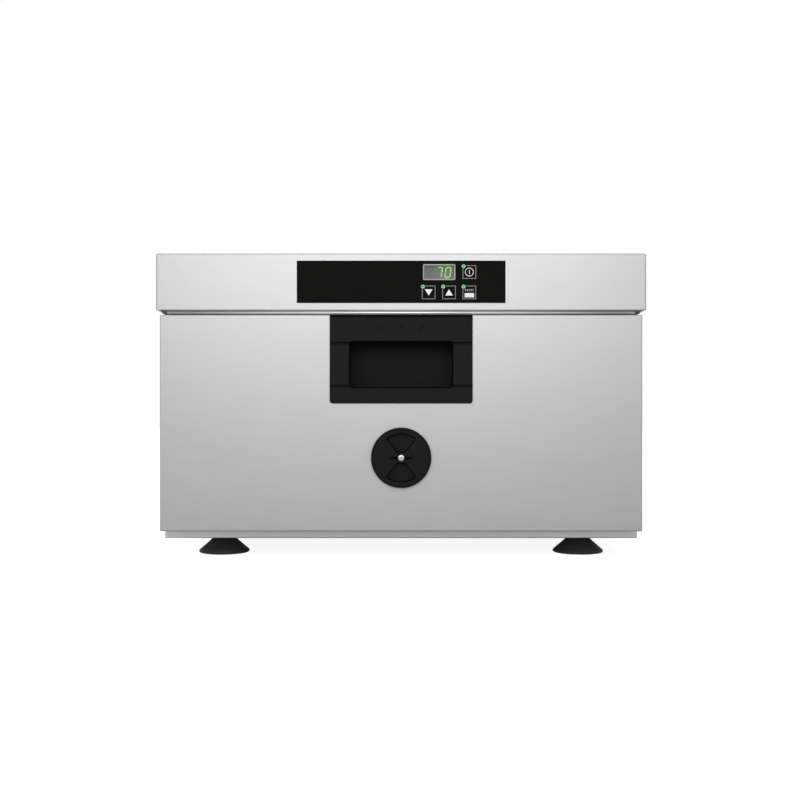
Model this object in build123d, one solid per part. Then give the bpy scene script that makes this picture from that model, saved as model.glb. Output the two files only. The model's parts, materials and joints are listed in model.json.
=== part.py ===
from build123d import *
import math
import os

# Countertop warming drawer that holds one full-size gastronorm pan, 150 mm deep.
# Millimetres. X points right, Y points back, Z points up. While the pieces are made, Y = 0 is the
# face of the hood and of the drawer front. Each piece is then moved so that the origin lies on the
# floor, under the middle of the whole object.

# --- The pan and the sheet set the rest ----------------------------------------------------------
pan_width = 325.0
pan_length = 530.0
pan_depth = 150.0
pan_rim = 9.5
pan_rim_lip = 3.0
pan_taper = 6.0
pan_corner = 28.0
pan_play = 0.8
sheet = 1.0
thin_sheet = 0.8
moving_gap = 0.3

# --- Rooms between the pan, the chamber and the casing -------------------------------------------
pan_floor_room = 9.0
pan_head_room = 3.0
chamber_floor_rise = 23.7
chamber_rear_gap = 4.4
side_room = 31.2
rear_room = 30.0
wiring_room = 6.0

# --- Hood ----------------------------------------------------------------------------------------
hood_height = 48.7
hood_overhang = 3.5
hood_over_drawer = 4.6
hem_drop = 3.5
hem_inset = 5.6
hem_corner_stop = 9.5
hem_thickness = 1.15
hem_root = 0.46
hood_edge_radius = 1.5
rear_lip = 14.0
rear_screw_spread = 0.8
rear_screw_margin = 25.0
cover_screw_length = 5.0

# --- Casing --------------------------------------------------------------------------------------
foot_height = 15.3
casing_front = 22.0
tray_wall = 12.0
side_flange = 24.0
rear_flange = 12.0
cooling_slot_length = 20.0
cooling_slot_width = 3.0
cooling_slot_pitch = 7.0
cooling_slot_count = 12

# --- Frame and slides ----------------------------------------------------------------------------
frame_sheet = 1.5
frame_ledge = 5.5
frame_rail_drop = 106.0
frame_plate_drop = 50.0
frame_screw_room = 8.0
frame_screw_drop = 12.0
frame_screw_pitch = 24.0
frame_screw_tail = 3.0
rail_screw_spread = 0.4
slide_thickness = 13.0
slide_height = 45.0
slide_wall = 1.5
slide_drop = 2.0
slide_end_gap = 3.5
outer_reach = 9.0
middle_web_at = 2.5
middle_reach = 8.5
inner_reach = 7.5
inner_half_height = 13.0
ball_race = 3.2
ball_diameter = 2.7
ball_count = 6
outer_ball_at = 6.0
inner_ball_at = 8.0
cage_length = 240.0
cage_thickness = 0.4
cage_lap = 1.0

# --- Chamber -------------------------------------------------------------------------------------
chamber_corner = 12.0
liner_flange = 8.0
cable_diameter = 4.0
cable_clearance = 0.3
cable_pitch = 30.0
wool_clearance = 1.0

# --- Drawer front --------------------------------------------------------------------------------
drawer_bottom_rise = 8.6
drawer_over_mouth = 10.4
drawer_skin_depth = 18.0
plug_clearance = 13.6
plug_edge_clearance = 2.5
plug_depth = 18.0
gasket_width = 6.0
gasket_inset = 2.0

# --- Handle --------------------------------------------------------------------------------------
handle_width = 123.7
handle_height = 76.6
handle_proud = 2.0
handle_overlap = 4.0
handle_corner = 2.6
recess_side = 16.85
recess_head = 22.6
recess_rise = 13.0
recess_depth = 22.0
recess_wall = 2.0
grip_undercut = 6.0
grip_lip = 2.5
dimple_pitch = 17.8
dimple_drop = 12.2
dimple_sphere = 5.0
dimple_sphere_out = 4.3
groove_width = 2.0
groove_depth = 0.5
handle_edge = 0.8
handle_frame_depth = 8.0
handle_boss = 8.0
handle_boss_depth = 10.0
handle_boss_lift = 24.0
handle_screw_shank = 3.5

# --- Humidity vent -------------------------------------------------------------------------------
vent_diameter = 52.1
vent_lift = 8.45
vent_proud = 4.5
vent_rim = 1.3
vent_disc_thickness = 2.2
window_inner_radius = 4.4
window_outer_radius = 21.2
window_half_angle = 39.0
vent_pin_diameter = 3.0
vent_pin_head = 6.0
vent_pin_head_height = 2.0
vent_pin_dome = 1.4
vent_pin_tail = 5.0
vent_pin_nut = 3.0
vent_hub = 7.2
vent_fit = 0.05
vent_sleeve_diameter = 46.0
vent_sleeve_wall = 1.5
vent_sleeve_lap = 4.0
vent_edge = 0.8
vent_floor = 0.5
vent_spigot = 10.0
grip_length = 21.0
grip_height = 2.6
grip_proud = 1.2
grille_neck = 3.0
grille_slot_length = 30.0
grille_slot_width = 5.0
grille_slot_pitch = 10.0

# --- Control panel -------------------------------------------------------------------------------
panel_width = 180.6
panel_height = 36.5
panel_rise = 24.0
panel_thickness = 0.8
key_size = 11.6
key_pitch = 17.6
key_column_x = 59.0
key_row_drop = 9.2
key_travel = 0.5
key_gap = 0.25
key_window_margin = 0.5
display_x = 32.9
display_width = 28.4
display_height = 14.1
display_frame = 1.2
display_corner = 1.0
digit_height = 9.8
digit_width = 5.4
digit_stroke = 1.1
digit_slant = 8.0
digit_depth = 0.4
digit_margin = 2.6
digit_spacing = 2.0
segment_gap = 0.15
display_digit_y = 2.2
lamp_diameter = 3.2
lamp_offset = 5.0
key_cap_depth = 1.6
key_stem = 3.0
key_stem_end = 4.0
plunger_gap = 0.1
switch_front = 5.5
switch_size = 6.0
board_y = 9.0
board_thickness = 1.6
chip_size = 14.0
chip_height = 2.0
chip_x = -20.0
connector_length = 30.0
connector_height = 8.0
connector_depth = 9.0
connector_x = -60.0
stud_diameter = 3.0
stud_side_inset = 6.0
stud_edge_inset = 5.0
stud_tail = 4.0
stud_nut_height = 2.4

# --- Feet and screws -----------------------------------------------------------------------------
foot_top_diameter = 24.0
foot_base_diameter = 45.4
foot_lip = 2.4
foot_side_inset = 48.5
foot_inset = 48.0
foot_recess = 7.0
foot_recess_diameter = 12.0
foot_screw_head = 10.0
foot_screw_shank = 5.0
screw_shank = 4.0
screw_head = 7.5
screw_head_height = 2.2
screw_fit = 0.05
weld_nut_height = 5.0
weld_nut_diameter = 10.0
rivet_shank = 4.0
rivet_tail = 6.8
rivet_cone_depth = 1.05

# --- Mains entry and bonding terminal ------------------------------------------------------------
gland_thread = 16.0
gland_thread_length = 9.0
gland_reach = 22.0
gland_bore = 8.0
gland_hex_radius = 11.2
gland_hex_depth = 7.0
gland_cap_radius = 9.9
gland_cap_round = 3.0
gland_nut_radius = 12.0
gland_nut_depth = 5.0
gland_side = 0.7
entry_rise = 16.0
bond_side = 0.4
bond_shank = 6.0
bond_reach = 14.0
bond_head = 10.8
bond_head_depth = 5.0
bond_washer = 12.0
bond_washer_height = 1.2
bond_nut_height = 4.8

# --- Control compartment and probe ---------------------------------------------------------------
hat_height = 11.0
hat_inset = 9.8
hat_front_inset = 12.0
hat_rear_inset = 5.0
part_margin = 18.0
spacer_height = 5.0
spacer_diameter = 6.0
spacer_inset = 8.0
power_board_side = 100.0
relay_width = 28.0
relay_length = 16.0
relay_height = 15.0
relay_pitch = 30.0
relay_inset = 10.0
fuse_width = 22.0
fuse_length = 8.0
fuse_height = 8.0
core_width = 22.0
core_length = 46.0
core_height = 30.0
bobbin_width = 36.0
bobbin_length = 24.0
bobbin_rise = 5.0
bobbin_height = 22.0
thermostat_side = 34.0
thermostat_height = 20.0
reset_diameter = 9.0
reset_height = 6.0
terminal_count = 4
terminal_pitch = 12.0
terminal_length = 22.0
terminal_height = 14.0
terminal_well = 5.0
terminal_well_depth = 8.0
probe_inset = 57.8
probe_rise = 41.0
probe_diameter = 5.0
probe_reach = 12.0
probe_tail = 18.0

# --- Heights, from the floor up ------------------------------------------------------------------
base_z = foot_height
tray_top_z = base_z + sheet
chamber_floor_z = base_z + chamber_floor_rise
pan_top_z = chamber_floor_z + pan_floor_room + pan_depth
chamber_top_z = pan_top_z + pan_head_room
drawer_bottom_z = base_z + drawer_bottom_rise
drawer_top_z = chamber_top_z + drawer_over_mouth
hood_bend_z = drawer_top_z + hood_over_drawer
total_height = hood_bend_z + hood_height
hem_z = hood_bend_z - hem_drop
side_top_z = hem_z - moving_gap
mouth_height = chamber_top_z - chamber_floor_z
mouth_center_z = (chamber_top_z + chamber_floor_z) / 2
slide_center_z = mouth_center_z - slide_drop
liner_floor_z = chamber_floor_z - thin_sheet
floor_plate_z = hem_z
hat_top_z = floor_plate_z + hat_height
entry_z = hat_top_z + entry_rise
plug_bottom_z = chamber_floor_z + plug_edge_clearance
plug_top_z = chamber_top_z - plug_edge_clearance
ledge_z = pan_top_z - sheet - pan_rim_lip
handle_top_z = drawer_top_z
handle_bottom_z = handle_top_z - handle_height
handle_center_z = (handle_top_z + handle_bottom_z) / 2
recess_height = handle_height - recess_head - recess_rise
recess_bottom_z = handle_bottom_z + recess_rise
recess_center_z = recess_bottom_z + recess_height / 2
vent_z = (drawer_bottom_z + handle_bottom_z) / 2 + vent_lift
panel_z = hood_bend_z + panel_rise
key_row_z = panel_z - key_row_drop
display_z = key_row_z + key_pitch
probe_z = chamber_floor_z + probe_rise

# --- Widths, from the middle out -----------------------------------------------------------------
half_frame = pan_width / 2 + pan_play
half_chamber = half_frame + frame_sheet + slide_thickness
half_plug = half_chamber - plug_clearance
liner_half = half_chamber + thin_sheet
half_casing = half_chamber + side_room
casing_width = 2 * half_casing
drawer_width = casing_width
half_hood = half_casing + hood_overhang
hat_half = half_chamber - hat_inset
recess_width = handle_width - 2 * recess_side
foot_x = half_casing - foot_side_inset
probe_x = half_chamber - probe_inset
power_column_x = part_margin + power_board_side / 2 - hat_half

# --- Depths, from the face back ------------------------------------------------------------------
frame_y = casing_front + sheet
inner_y = frame_y + sheet
plug_back = drawer_skin_depth + plug_depth
frame_front = plug_back
slide_front = frame_front + frame_sheet
pan_front = slide_front + pan_play
pan_rear = pan_front + pan_length
frame_rear = pan_rear + pan_play
chamber_rear = frame_rear + frame_sheet + chamber_rear_gap
liner_rear = chamber_rear + thin_sheet
body_depth = chamber_rear + rear_room
rear_inner = body_depth - 2 * sheet
slide_length = chamber_rear - slide_end_gap - slide_front
hat_front = casing_front + hat_front_inset
hat_rear = chamber_rear - hat_rear_inset
front_row_y = hat_front + (hat_rear - hat_front) / 4
rear_row_y = (hat_front + hat_rear) / 2
cable_passes = int((chamber_rear - inner_y - liner_flange) / cable_pitch) - 1
cable_offset = cable_clearance + cable_diameter / 2
pack_gap = cable_diameter + 2 * cable_clearance
vent_disc_front = -vent_proud
vent_disc_back = vent_disc_front + vent_disc_thickness
vent_pocket_back = vent_disc_back + moving_gap
front_reach = vent_proud + vent_pin_head_height
depth_shift = -(body_depth + gland_reach - front_reach) / 2

# --- Holes and places used more than once --------------------------------------------------------
vent_disc_radius = vent_diameter / 2 - vent_rim - moving_gap
rivet_hole = rivet_shank + 2 * screw_fit
screw_hole = screw_shank + 2 * screw_fit
foot_places = [
    (side * foot_x, y)
    for side in (-1, 1)
    for y in (foot_inset, body_depth - foot_inset)
]
key_places = {
    "key_power": (key_column_x, display_z),
    "key_down": (key_column_x - 2 * key_pitch, key_row_z),
    "key_up": (key_column_x - key_pitch, key_row_z),
    "key_start_stop": (key_column_x, key_row_z),
}


# --- Shared helpers ------------------------------------------------------------------------------
def block(x0, x1, y0, y1, z0, z1):
    """A box between two corners."""
    size = Box(x1 - x0, y1 - y0, z1 - z0)
    return Pos((x0 + x1) / 2, (y0 + y1) / 2, (z0 + z1) / 2) * size


def upright(y):
    """A plane that faces the front, with its origin on the Y axis."""
    return Plane(origin=(0, y, 0), x_dir=(1, 0, 0), z_dir=(0, -1, 0))


def slab(outline, y0, y1):
    """An outline drawn in X and Z, thickened from y0 back to y1."""
    return extrude(upright(y1) * outline, y1 - y0)


def rod(x, z, y0, y1, diameter):
    """A round bar along Y."""
    return slab(Pos(x, z) * Circle(diameter / 2), y0, y1)


def post(x, y, z0, z1, diameter):
    """A round bar along Z."""
    return Pos(x, y, (z0 + z1) / 2) * Cylinder(diameter / 2, z1 - z0)


def cross_rod(x0, x1, y, z, diameter):
    """A round bar along X."""
    return Pos((x0 + x1) / 2, y, z) * Rot(0, 90, 0) * Cylinder(diameter / 2, abs(x1 - x0))


def rounded(width, height, x, z, radius):
    """A rectangle with round corners, placed in X and Z."""
    return Pos(x, z) * RectangleRounded(width, height, radius)


def mirrored(shape):
    """The shape on the other side of the middle plane."""
    return mirror(shape, about=Plane.YZ)


def screw_back(x, z, y_head, length, shank=screw_shank):
    """A pan head screw along Y, whose shank runs forward from the head's seat at y_head."""
    head = rod(x, z, y_head, y_head + screw_head_height, screw_head)
    return head + rod(x, z, y_head - length, y_head, shank)


def screw_across(x_head, side, y, z, length, shank=screw_shank):
    """A pan head screw along X. The shank runs from its seat at x_head towards side."""
    head = cross_rod(x_head - side * screw_head_height, x_head, y, z, screw_head)
    return head + cross_rod(x_head, x_head + side * length, y, z, shank)


# --- Cabinet: sheet metal ------------------------------------------------------------------------
def hem_outline():
    """The folded hem's section: it runs in and down from the wall's lower edge."""
    return Polygon(
        (0, 0),
        (0, hem_thickness),
        (-sheet, hem_thickness),
        (-sheet, hem_root),
        (-hem_inset, hem_thickness - hem_drop),
        (-hem_inset, -hem_drop),
        align=None,
    )


def rear_screw_xs():
    """Where the screws through the hood's rear lip stand."""
    return [side * half_hood * rear_screw_spread for side in (-1, 0, 1)]


def hood_cover():
    shell = block(-half_hood, half_hood, 0, body_depth, hood_bend_z, total_height)
    top_edges = shell.edges().group_by(Axis.Z)[-1]
    front_corners = shell.edges().filter_by(Axis.Z).group_by(Axis.Y)[0]
    shell = fillet(top_edges + front_corners, hood_edge_radius)
    inside = half_hood - sheet
    roof = total_height - sheet
    shell -= block(-inside, inside, sheet, body_depth, hood_bend_z - sheet, roof)
    side_plane = Plane(origin=(half_hood, body_depth, hood_bend_z), x_dir=(1, 0, 0), z_dir=(0, -1, 0))
    side_hem = extrude(side_plane * hem_outline(), body_depth - hood_edge_radius)
    hem_length = 2 * (half_hood - hem_corner_stop)
    front_plane = Plane(origin=(hem_length / 2, 0, hood_bend_z), x_dir=(0, -1, 0), z_dir=(-1, 0, 0))
    front_hem = extrude(front_plane * hem_outline(), hem_length)
    lip_y = body_depth - sheet
    lip = block(-inside, inside, lip_y, body_depth, total_height - rear_lip, roof)
    for x in rear_screw_xs():
        lip -= rod(x, total_height - rear_lip / 2, lip_y, body_depth, screw_hole)
    hood = shell + side_hem + mirrored(side_hem) + front_hem + lip
    opening = key_size + 2 * key_window_margin
    for x, z in key_places.values():
        hood -= slab(Pos(x, z) * Rectangle(opening, opening), 0, sheet)
        hood -= slab(lamp_outline(x, z, key_gap), 0, sheet)
    hood -= slab(Pos(display_x, display_z) * Rectangle(display_width, display_height), 0, sheet)
    return hood


def side_panel():
    """The right side, folded in along its top, rear and front edges."""
    outer = half_casing - sheet
    front = inner_y
    rear = rear_inner - moving_gap
    wall = block(outer - sheet, outer, front, rear, tray_top_z, side_top_z)
    top = block(outer - side_flange, outer, front, rear, side_top_z - sheet, side_top_z)
    back = block(outer - rear_flange, outer, rear - sheet, rear, tray_top_z, side_top_z)
    panel = wall + top + back
    for z in rear_screw_zs():
        panel -= rod(rear_screw_x(), z, rear - sheet, rear, screw_hole)
    return panel


def rear_screw_x():
    return half_casing - sheet - rear_flange / 2


def rear_screw_zs():
    """Heights of the screws that hold the rear panel to each side."""
    low = base_z + rear_screw_margin
    high = side_top_z - rear_screw_margin
    return [low, (low + high) / 2, high]


def gland_place():
    return (half_hood * gland_side, entry_z)


def bond_place():
    return (half_hood * bond_side, entry_z)


def rear_panel():
    """The flat rear wall, with cooling slots behind the control compartment."""
    rear = rear_inner + sheet
    half = half_casing - sheet
    wall = block(-half, half, rear_inner, rear, tray_top_z, side_top_z)
    between_hems = half_hood - hem_inset - sheet
    above_hems = half_hood - sheet - moving_gap
    shoulder_z = hood_bend_z + 2 * sheet
    wall += block(-between_hems, between_hems, rear_inner, rear, side_top_z, shoulder_z)
    wall += block(-above_hems, above_hems, rear_inner, rear, shoulder_z, total_height - sheet - moving_gap)
    for z in rear_screw_zs():
        for side in (-1, 1):
            wall -= rod(side * rear_screw_x(), z, rear_inner, rear, screw_hole)
    for x in rear_screw_xs():
        wall -= rod(x, total_height - rear_lip / 2, rear_inner, rear, screw_hole)
    gland_x, gland_z = gland_place()
    bond_x, bond_z = bond_place()
    wall -= rod(gland_x, gland_z, rear_inner, rear, gland_thread + 2 * screw_fit)
    wall -= rod(bond_x, bond_z, rear_inner, rear, bond_shank + 2 * screw_fit)
    for index in range(cooling_slot_count):
        x = index * cooling_slot_pitch - gland_x
        slot = Pos(x, bond_z) * Rot(0, 0, 90) * SlotOverall(cooling_slot_length, cooling_slot_width)
        wall -= slab(slot, rear_inner, rear)
    return wall


def base_tray():
    """The bottom tray with four upturned walls and a welded nut over each foot."""
    outer = block(-half_casing, half_casing, casing_front, body_depth, base_z, base_z + tray_wall)
    inner_half = half_casing - sheet
    inner_rear = body_depth - sheet
    tray = outer - block(-inner_half, inner_half, frame_y, inner_rear, tray_top_z, base_z + tray_wall)
    tray = fillet(tray.edges().filter_by(Axis.X).group_by(Axis.Z)[0].group_by(Axis.Y)[0], sheet)
    for x, y in foot_places:
        tray += post(x, y, tray_top_z, tray_top_z + weld_nut_height, weld_nut_diameter)
        tray -= post(x, y, base_z, tray_top_z + weld_nut_height, foot_screw_shank + 2 * screw_fit)
    return tray


def mouth_outline(margin=0.0):
    """The chamber's mouth, grown by a margin."""
    return rounded(
        2 * (half_chamber + margin),
        mouth_height + 2 * margin,
        0,
        mouth_center_z,
        chamber_corner + margin,
    )


def front_frame():
    """The plate round the chamber's mouth, against which the gasket closes."""
    half = half_casing - sheet
    plate = block(-half, half, frame_y, inner_y, tray_top_z, side_top_z)
    return plate - slab(mouth_outline(), frame_y, inner_y)


def chamber_liner():
    """A seamless box with coved corners, welded to the front frame by its flange."""
    flange = slab(mouth_outline(liner_flange), inner_y, inner_y + thin_sheet)
    shell = flange + slab(mouth_outline(thin_sheet), inner_y, liner_rear)
    liner = shell - slab(mouth_outline(), inner_y, chamber_rear)
    liner -= rod(probe_x, probe_z, chamber_rear, liner_rear, probe_diameter + 2 * screw_fit)
    for y in rivet_ys():
        for side in (-1, 1):
            hole = cross_rod(side * half_chamber, side * liner_half, y, slide_center_z, rivet_hole)
            liner -= hole
    return liner


def rivet_ys():
    """Places of the slide rivets along the slides, between the cable's passes."""
    first = cable_start_y() + cable_pitch / 2
    return [first + step * cable_pitch for step in (1, cable_passes // 2, cable_passes - 3)]


# --- Cabinet: heat -------------------------------------------------------------------------------
def cable_start_y():
    """The first pass, so that the winding is centred between the frame and the rear wall."""
    middle = (inner_y + liner_flange + chamber_rear) / 2
    return middle - (cable_passes - 1) / 2 * cable_pitch


def heating_cable():
    """One silicone cable, wound back and forth round the chamber's sides and floor."""
    half = liner_half + cable_offset
    low = liner_floor_z - cable_offset
    bend = chamber_corner + thin_sheet + cable_offset
    top = chamber_top_z - cable_pitch
    run = []
    for index in range(cable_passes):
        y = cable_start_y() + index * cable_pitch
        side = 1 if index % 2 == 0 else -1
        run.append(Line((-side * half, y, top), (-side * half, y, low + bend)))
        run.append(TangentArc(
            (-side * half, y, low + bend),
            (-side * (half - bend), y, low),
            tangent=(0, 0, -1),
        ))
        run.append(Line((-side * (half - bend), y, low), (side * (half - bend), y, low)))
        run.append(TangentArc(
            (side * (half - bend), y, low),
            (side * half, y, low + bend),
            tangent=(side, 0, 0),
        ))
        run.append(Line((side * half, y, low + bend), (side * half, y, top)))
        if index < cable_passes - 1:
            run.append(TangentArc(
                (side * half, y, top),
                (side * half, y + cable_pitch, top),
                tangent=(0, 0, 1),
            ))
    path = Wire([edge for piece in run for edge in piece.edges()])
    section = Plane(origin=path @ 0, z_dir=path % 0) * Circle(cable_diameter / 2)
    return sweep(section, path=path)


def chamber_insulation():
    """Five slabs of mineral wool between the chamber and the casing."""
    front = inner_y + thin_sheet + moving_gap
    rear = rear_inner - wiring_room
    side_in = liner_half + pack_gap
    side_out = half_casing - 2 * sheet
    floor_top = liner_floor_z - pack_gap
    roof_low = chamber_top_z + thin_sheet
    shelf_z = side_top_z - sheet
    wall_rear = liner_rear + moving_gap
    bottom = block(-side_out, side_out, front, rear, tray_top_z, floor_top)
    for x, y in foot_places:
        nut_top = tray_top_z + weld_nut_height + moving_gap
        bottom -= post(x, y, tray_top_z, nut_top, weld_nut_diameter + wool_clearance)
    side_front = front + liner_flange
    side = block(side_in, side_out, front, wall_rear, floor_top, shelf_z)
    side -= slab(mouth_outline(liner_flange + moving_gap), front, front + thin_sheet)
    back = block(-side_out, side_out, wall_rear, rear, floor_top, shelf_z)
    back -= rod(probe_x, probe_z, wall_rear, rear, probe_diameter + wool_clearance)
    roof = block(-side_in, side_in, front, wall_rear, roof_low, shelf_z)
    roof += block(-hat_half + sheet, hat_half - sheet, hat_front + sheet, hat_rear - sheet,
                  shelf_z, hat_top_z - sheet)
    roof -= slab(mouth_outline(liner_flange + moving_gap), front, front + thin_sheet)
    return [bottom, side, mirrored(side), back, roof]


def temperature_probe():
    """A stainless probe through the chamber's rear wall, with its hex nut outside."""
    tip = chamber_rear - probe_reach
    back = liner_rear + moving_gap + probe_tail
    stem = rod(probe_x, probe_z, tip, back, probe_diameter)
    nut_outline = Pos(probe_x, probe_z) * RegularPolygon(probe_diameter, 6)
    collar = slab(nut_outline, chamber_rear - sheet, chamber_rear)
    return stem + collar


# --- Cabinet: control compartment ----------------------------------------------------------------
def control_floor():
    """The compartment's floor: a flat rim inside the hood's hem, raised over the insulation."""
    half = half_hood - hem_inset - sheet
    front = hem_inset + sheet
    rear = rear_inner - moving_gap
    rim = block(-half, half, front, rear, floor_plate_z, floor_plate_z + sheet)
    hat = block(-hat_half, hat_half, hat_front, hat_rear, floor_plate_z, hat_top_z)
    room = block(-hat_half + sheet, hat_half - sheet, hat_front + sheet, hat_rear - sheet,
                 floor_plate_z, hat_top_z - sheet)
    return rim + hat - room


def on_hat(width, length, height, x, y):
    """A box that stands on the raised floor."""
    z = hat_top_z
    return block(x - width / 2, x + width / 2, y - length / 2, y + length / 2, z, z + height)


def power_board():
    """The relay board on its four spacers, with two relays and a fuse."""
    board_z = hat_top_z + spacer_height
    on_top = board_z + board_thickness
    half = power_board_side / 2
    left = power_column_x - half
    right = power_column_x + half
    board = block(left, right, front_row_y - half, front_row_y + half, board_z, on_top)
    spacer_at = half - spacer_inset
    for x in (power_column_x - spacer_at, power_column_x + spacer_at):
        for y in (front_row_y - spacer_at, front_row_y + spacer_at):
            board += post(x, y, hat_top_z, board_z, spacer_diameter)
    relay_x = left + relay_inset
    for y in (front_row_y - relay_pitch, front_row_y):
        board += block(relay_x, relay_x + relay_width, y, y + relay_length, on_top, on_top + relay_height)
    fuse_x = right - fuse_width - relay_inset
    board += block(fuse_x, fuse_x + fuse_width, front_row_y, front_row_y + fuse_length,
                   on_top, on_top + fuse_height)
    return board


def transformer():
    """A laminated core with a wound bobbin through it."""
    core = on_hat(core_width, core_length, core_height, power_column_x, rear_row_y)
    half_width = bobbin_width / 2
    half_length = bobbin_length / 2
    low = hat_top_z + bobbin_rise
    bobbin = block(power_column_x - half_width, power_column_x + half_width,
                   rear_row_y - half_length, rear_row_y + half_length, low, low + bobbin_height)
    return core + bobbin


def safety_thermostat():
    """The limit thermostat, with its manual reset button."""
    body = on_hat(thermostat_side, thermostat_side, thermostat_height, 0, front_row_y)
    top = hat_top_z + thermostat_height
    return body + post(0, front_row_y, top, top + reset_height, reset_diameter)


def terminal_block():
    """A row of screw terminals near the cable's entry."""
    right = hat_half - part_margin
    left = right - terminal_count * terminal_pitch
    rear = hat_rear - part_margin
    front = rear - terminal_length
    top = hat_top_z + terminal_height
    rail = block(left, right, front, rear, hat_top_z, top)
    for index in range(terminal_count):
        x = left + (index + 0.5) * terminal_pitch
        for y in (front + terminal_well, rear - terminal_well):
            rail -= post(x, y, top - terminal_well_depth, top, terminal_well)
    return rail


def cable_gland():
    """The strain relief for the mains cable: a hex body outside, a thread and a tapered nut."""
    x, z = gland_place()
    rear = rear_inner + sheet
    hex_back = rear + gland_hex_depth
    thread_front = rear_inner - gland_thread_length
    tip = body_depth + gland_reach
    thread = rod(x, z, thread_front, rear, gland_thread)
    collar = slab(Pos(x, z) * RegularPolygon(gland_hex_radius, 6), rear, hex_back)
    cap = rod(x, z, hex_back, tip, 2 * gland_cap_radius)
    cap = fillet(cap.edges().group_by(Axis.Y)[-1], gland_cap_round)
    body = thread + collar + cap
    return body - rod(x, z, thread_front, tip, gland_bore)


def gland_locknut():
    x, z = gland_place()
    front = rear_inner - gland_nut_depth
    nut = slab(Pos(x, z) * RegularPolygon(gland_nut_radius, 6), front, rear_inner)
    return nut - rod(x, z, front, rear_inner, gland_thread + 2 * screw_fit)


def bonding_stud():
    """The stud for the equipotential bond, with its nut and washer."""
    x, z = bond_place()
    rear = rear_inner + sheet
    washer_back = rear + bond_washer_height
    stud = rod(x, z, rear_inner, rear + bond_reach, bond_shank)
    head = rod(x, z, rear_inner - bond_head_depth, rear_inner, bond_head)
    washer = rod(x, z, rear, washer_back, bond_washer)
    nut = slab(Pos(x, z) * RegularPolygon(bond_shank, 6), washer_back, washer_back + bond_nut_height)
    return stud + head + washer + nut


# --- Slides --------------------------------------------------------------------------------------
def channel(half_height, wall, web_at, reach):
    """A C section for the right slide. Its web stands web_at in from the chamber wall and its
    two flanges run reach towards the drawer, or towards the wall where reach is negative."""
    x_web = half_chamber - web_at
    x_tip = x_web - reach
    x_wall = x_web - math.copysign(wall, reach)
    low = slide_center_z - half_height
    high = slide_center_z + half_height
    rear = slide_front + slide_length
    outer = block(min(x_web, x_tip), max(x_web, x_tip), slide_front, rear, low, high)
    room = block(min(x_wall, x_tip), max(x_wall, x_tip), slide_front, rear, low + wall, high - wall)
    return outer - room


def slide_outer():
    """The member riveted to the chamber's right wall."""
    member = channel(slide_height / 2, slide_wall, 0, outer_reach)
    for y in rivet_ys():
        member -= slide_rivet_cut(y)
    return member


def slide_rivet_cut(y):
    """The countersunk hole for one rivet in the right outer member."""
    hole = cross_rod(half_chamber - slide_wall, half_chamber, y, slide_center_z, rivet_hole)
    return hole + rivet_cone(y, 2 * screw_fit)


def rivet_cone(y, growth=0.0):
    """A countersunk head that lies flush with the outer member's web."""
    small = (rivet_shank + growth) / 2
    depth = rivet_cone_depth
    place = Pos(half_chamber - slide_wall + depth / 2, y, slide_center_z) * Rot(0, 90, 0)
    return place * Cone(small + depth, small, depth)


def slide_rivets():
    """The rivets that hold the outer members to the chamber's walls."""
    rivets = []
    for y in rivet_ys():
        shank = cross_rod(half_chamber - slide_wall, liner_half + sheet, y, slide_center_z, rivet_shank)
        tail = cross_rod(liner_half, liner_half + sheet, y, slide_center_z, rivet_tail)
        rivet = shank + tail + rivet_cone(y)
        rivets += [rivet, mirrored(rivet)]
    return rivets


def slide_middle():
    """The member that runs between the other two on balls."""
    half_height = slide_height / 2 - slide_wall - ball_race
    return channel(half_height, slide_wall, middle_web_at, middle_reach)


def slide_inner():
    """The member screwed to the drawer frame's right rail."""
    member = channel(inner_half_height, slide_wall, slide_thickness, -inner_reach)
    for y in rail_screw_ys():
        web = half_chamber - slide_thickness
        member -= cross_rod(web, web + slide_wall, y, slide_center_z, screw_hole)
    return member


def ball_cage(race_center, ball_at, web_at):
    """A cage of the right slide: two ball strips joined by a thin web."""
    x_ball = half_chamber - ball_at
    x_web = half_chamber - web_at
    y0 = slide_front + (slide_length - cage_length) / 2
    y1 = y0 + cage_length
    low = slide_center_z - race_center
    high = slide_center_z + race_center
    half_strip = cage_thickness / 2
    cage = block(x_web - cage_thickness, x_web, y0, y1, low - half_strip, high + half_strip)
    spacing = cage_length / ball_count
    for z in (low, high):
        cage += block(x_ball - cage_lap, x_web, y0, y1, z - half_strip, z + half_strip)
        for index in range(ball_count):
            cage += Pos(x_ball, y0 + (index + 0.5) * spacing, z) * Sphere(ball_diameter / 2)
    return cage


def outer_cages():
    """Both cages between the outer and the middle members."""
    race_center = slide_height / 2 - slide_wall - ball_race / 2
    cage = ball_cage(race_center, outer_ball_at, slide_wall + moving_gap)
    return [cage, mirrored(cage)]


def inner_cages():
    """Both cages between the middle and the inner members."""
    race_center = inner_half_height + ball_race / 2
    cage = ball_cage(race_center, inner_ball_at, middle_web_at + slide_wall + moving_gap)
    return [cage, mirrored(cage)]


# --- Drawer --------------------------------------------------------------------------------------
def drawer_height():
    return drawer_top_z - drawer_bottom_z


def drawer_center_z():
    return (drawer_top_z + drawer_bottom_z) / 2


def handle_opening(margin=0.0):
    """The rectangle in the drawer's face that the handle's body passes through."""
    width = handle_width - 2 * handle_overlap + 2 * margin
    height = handle_height - 2 * handle_overlap + 2 * margin
    return rounded(width, height, 0, handle_center_z, handle_corner)


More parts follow.
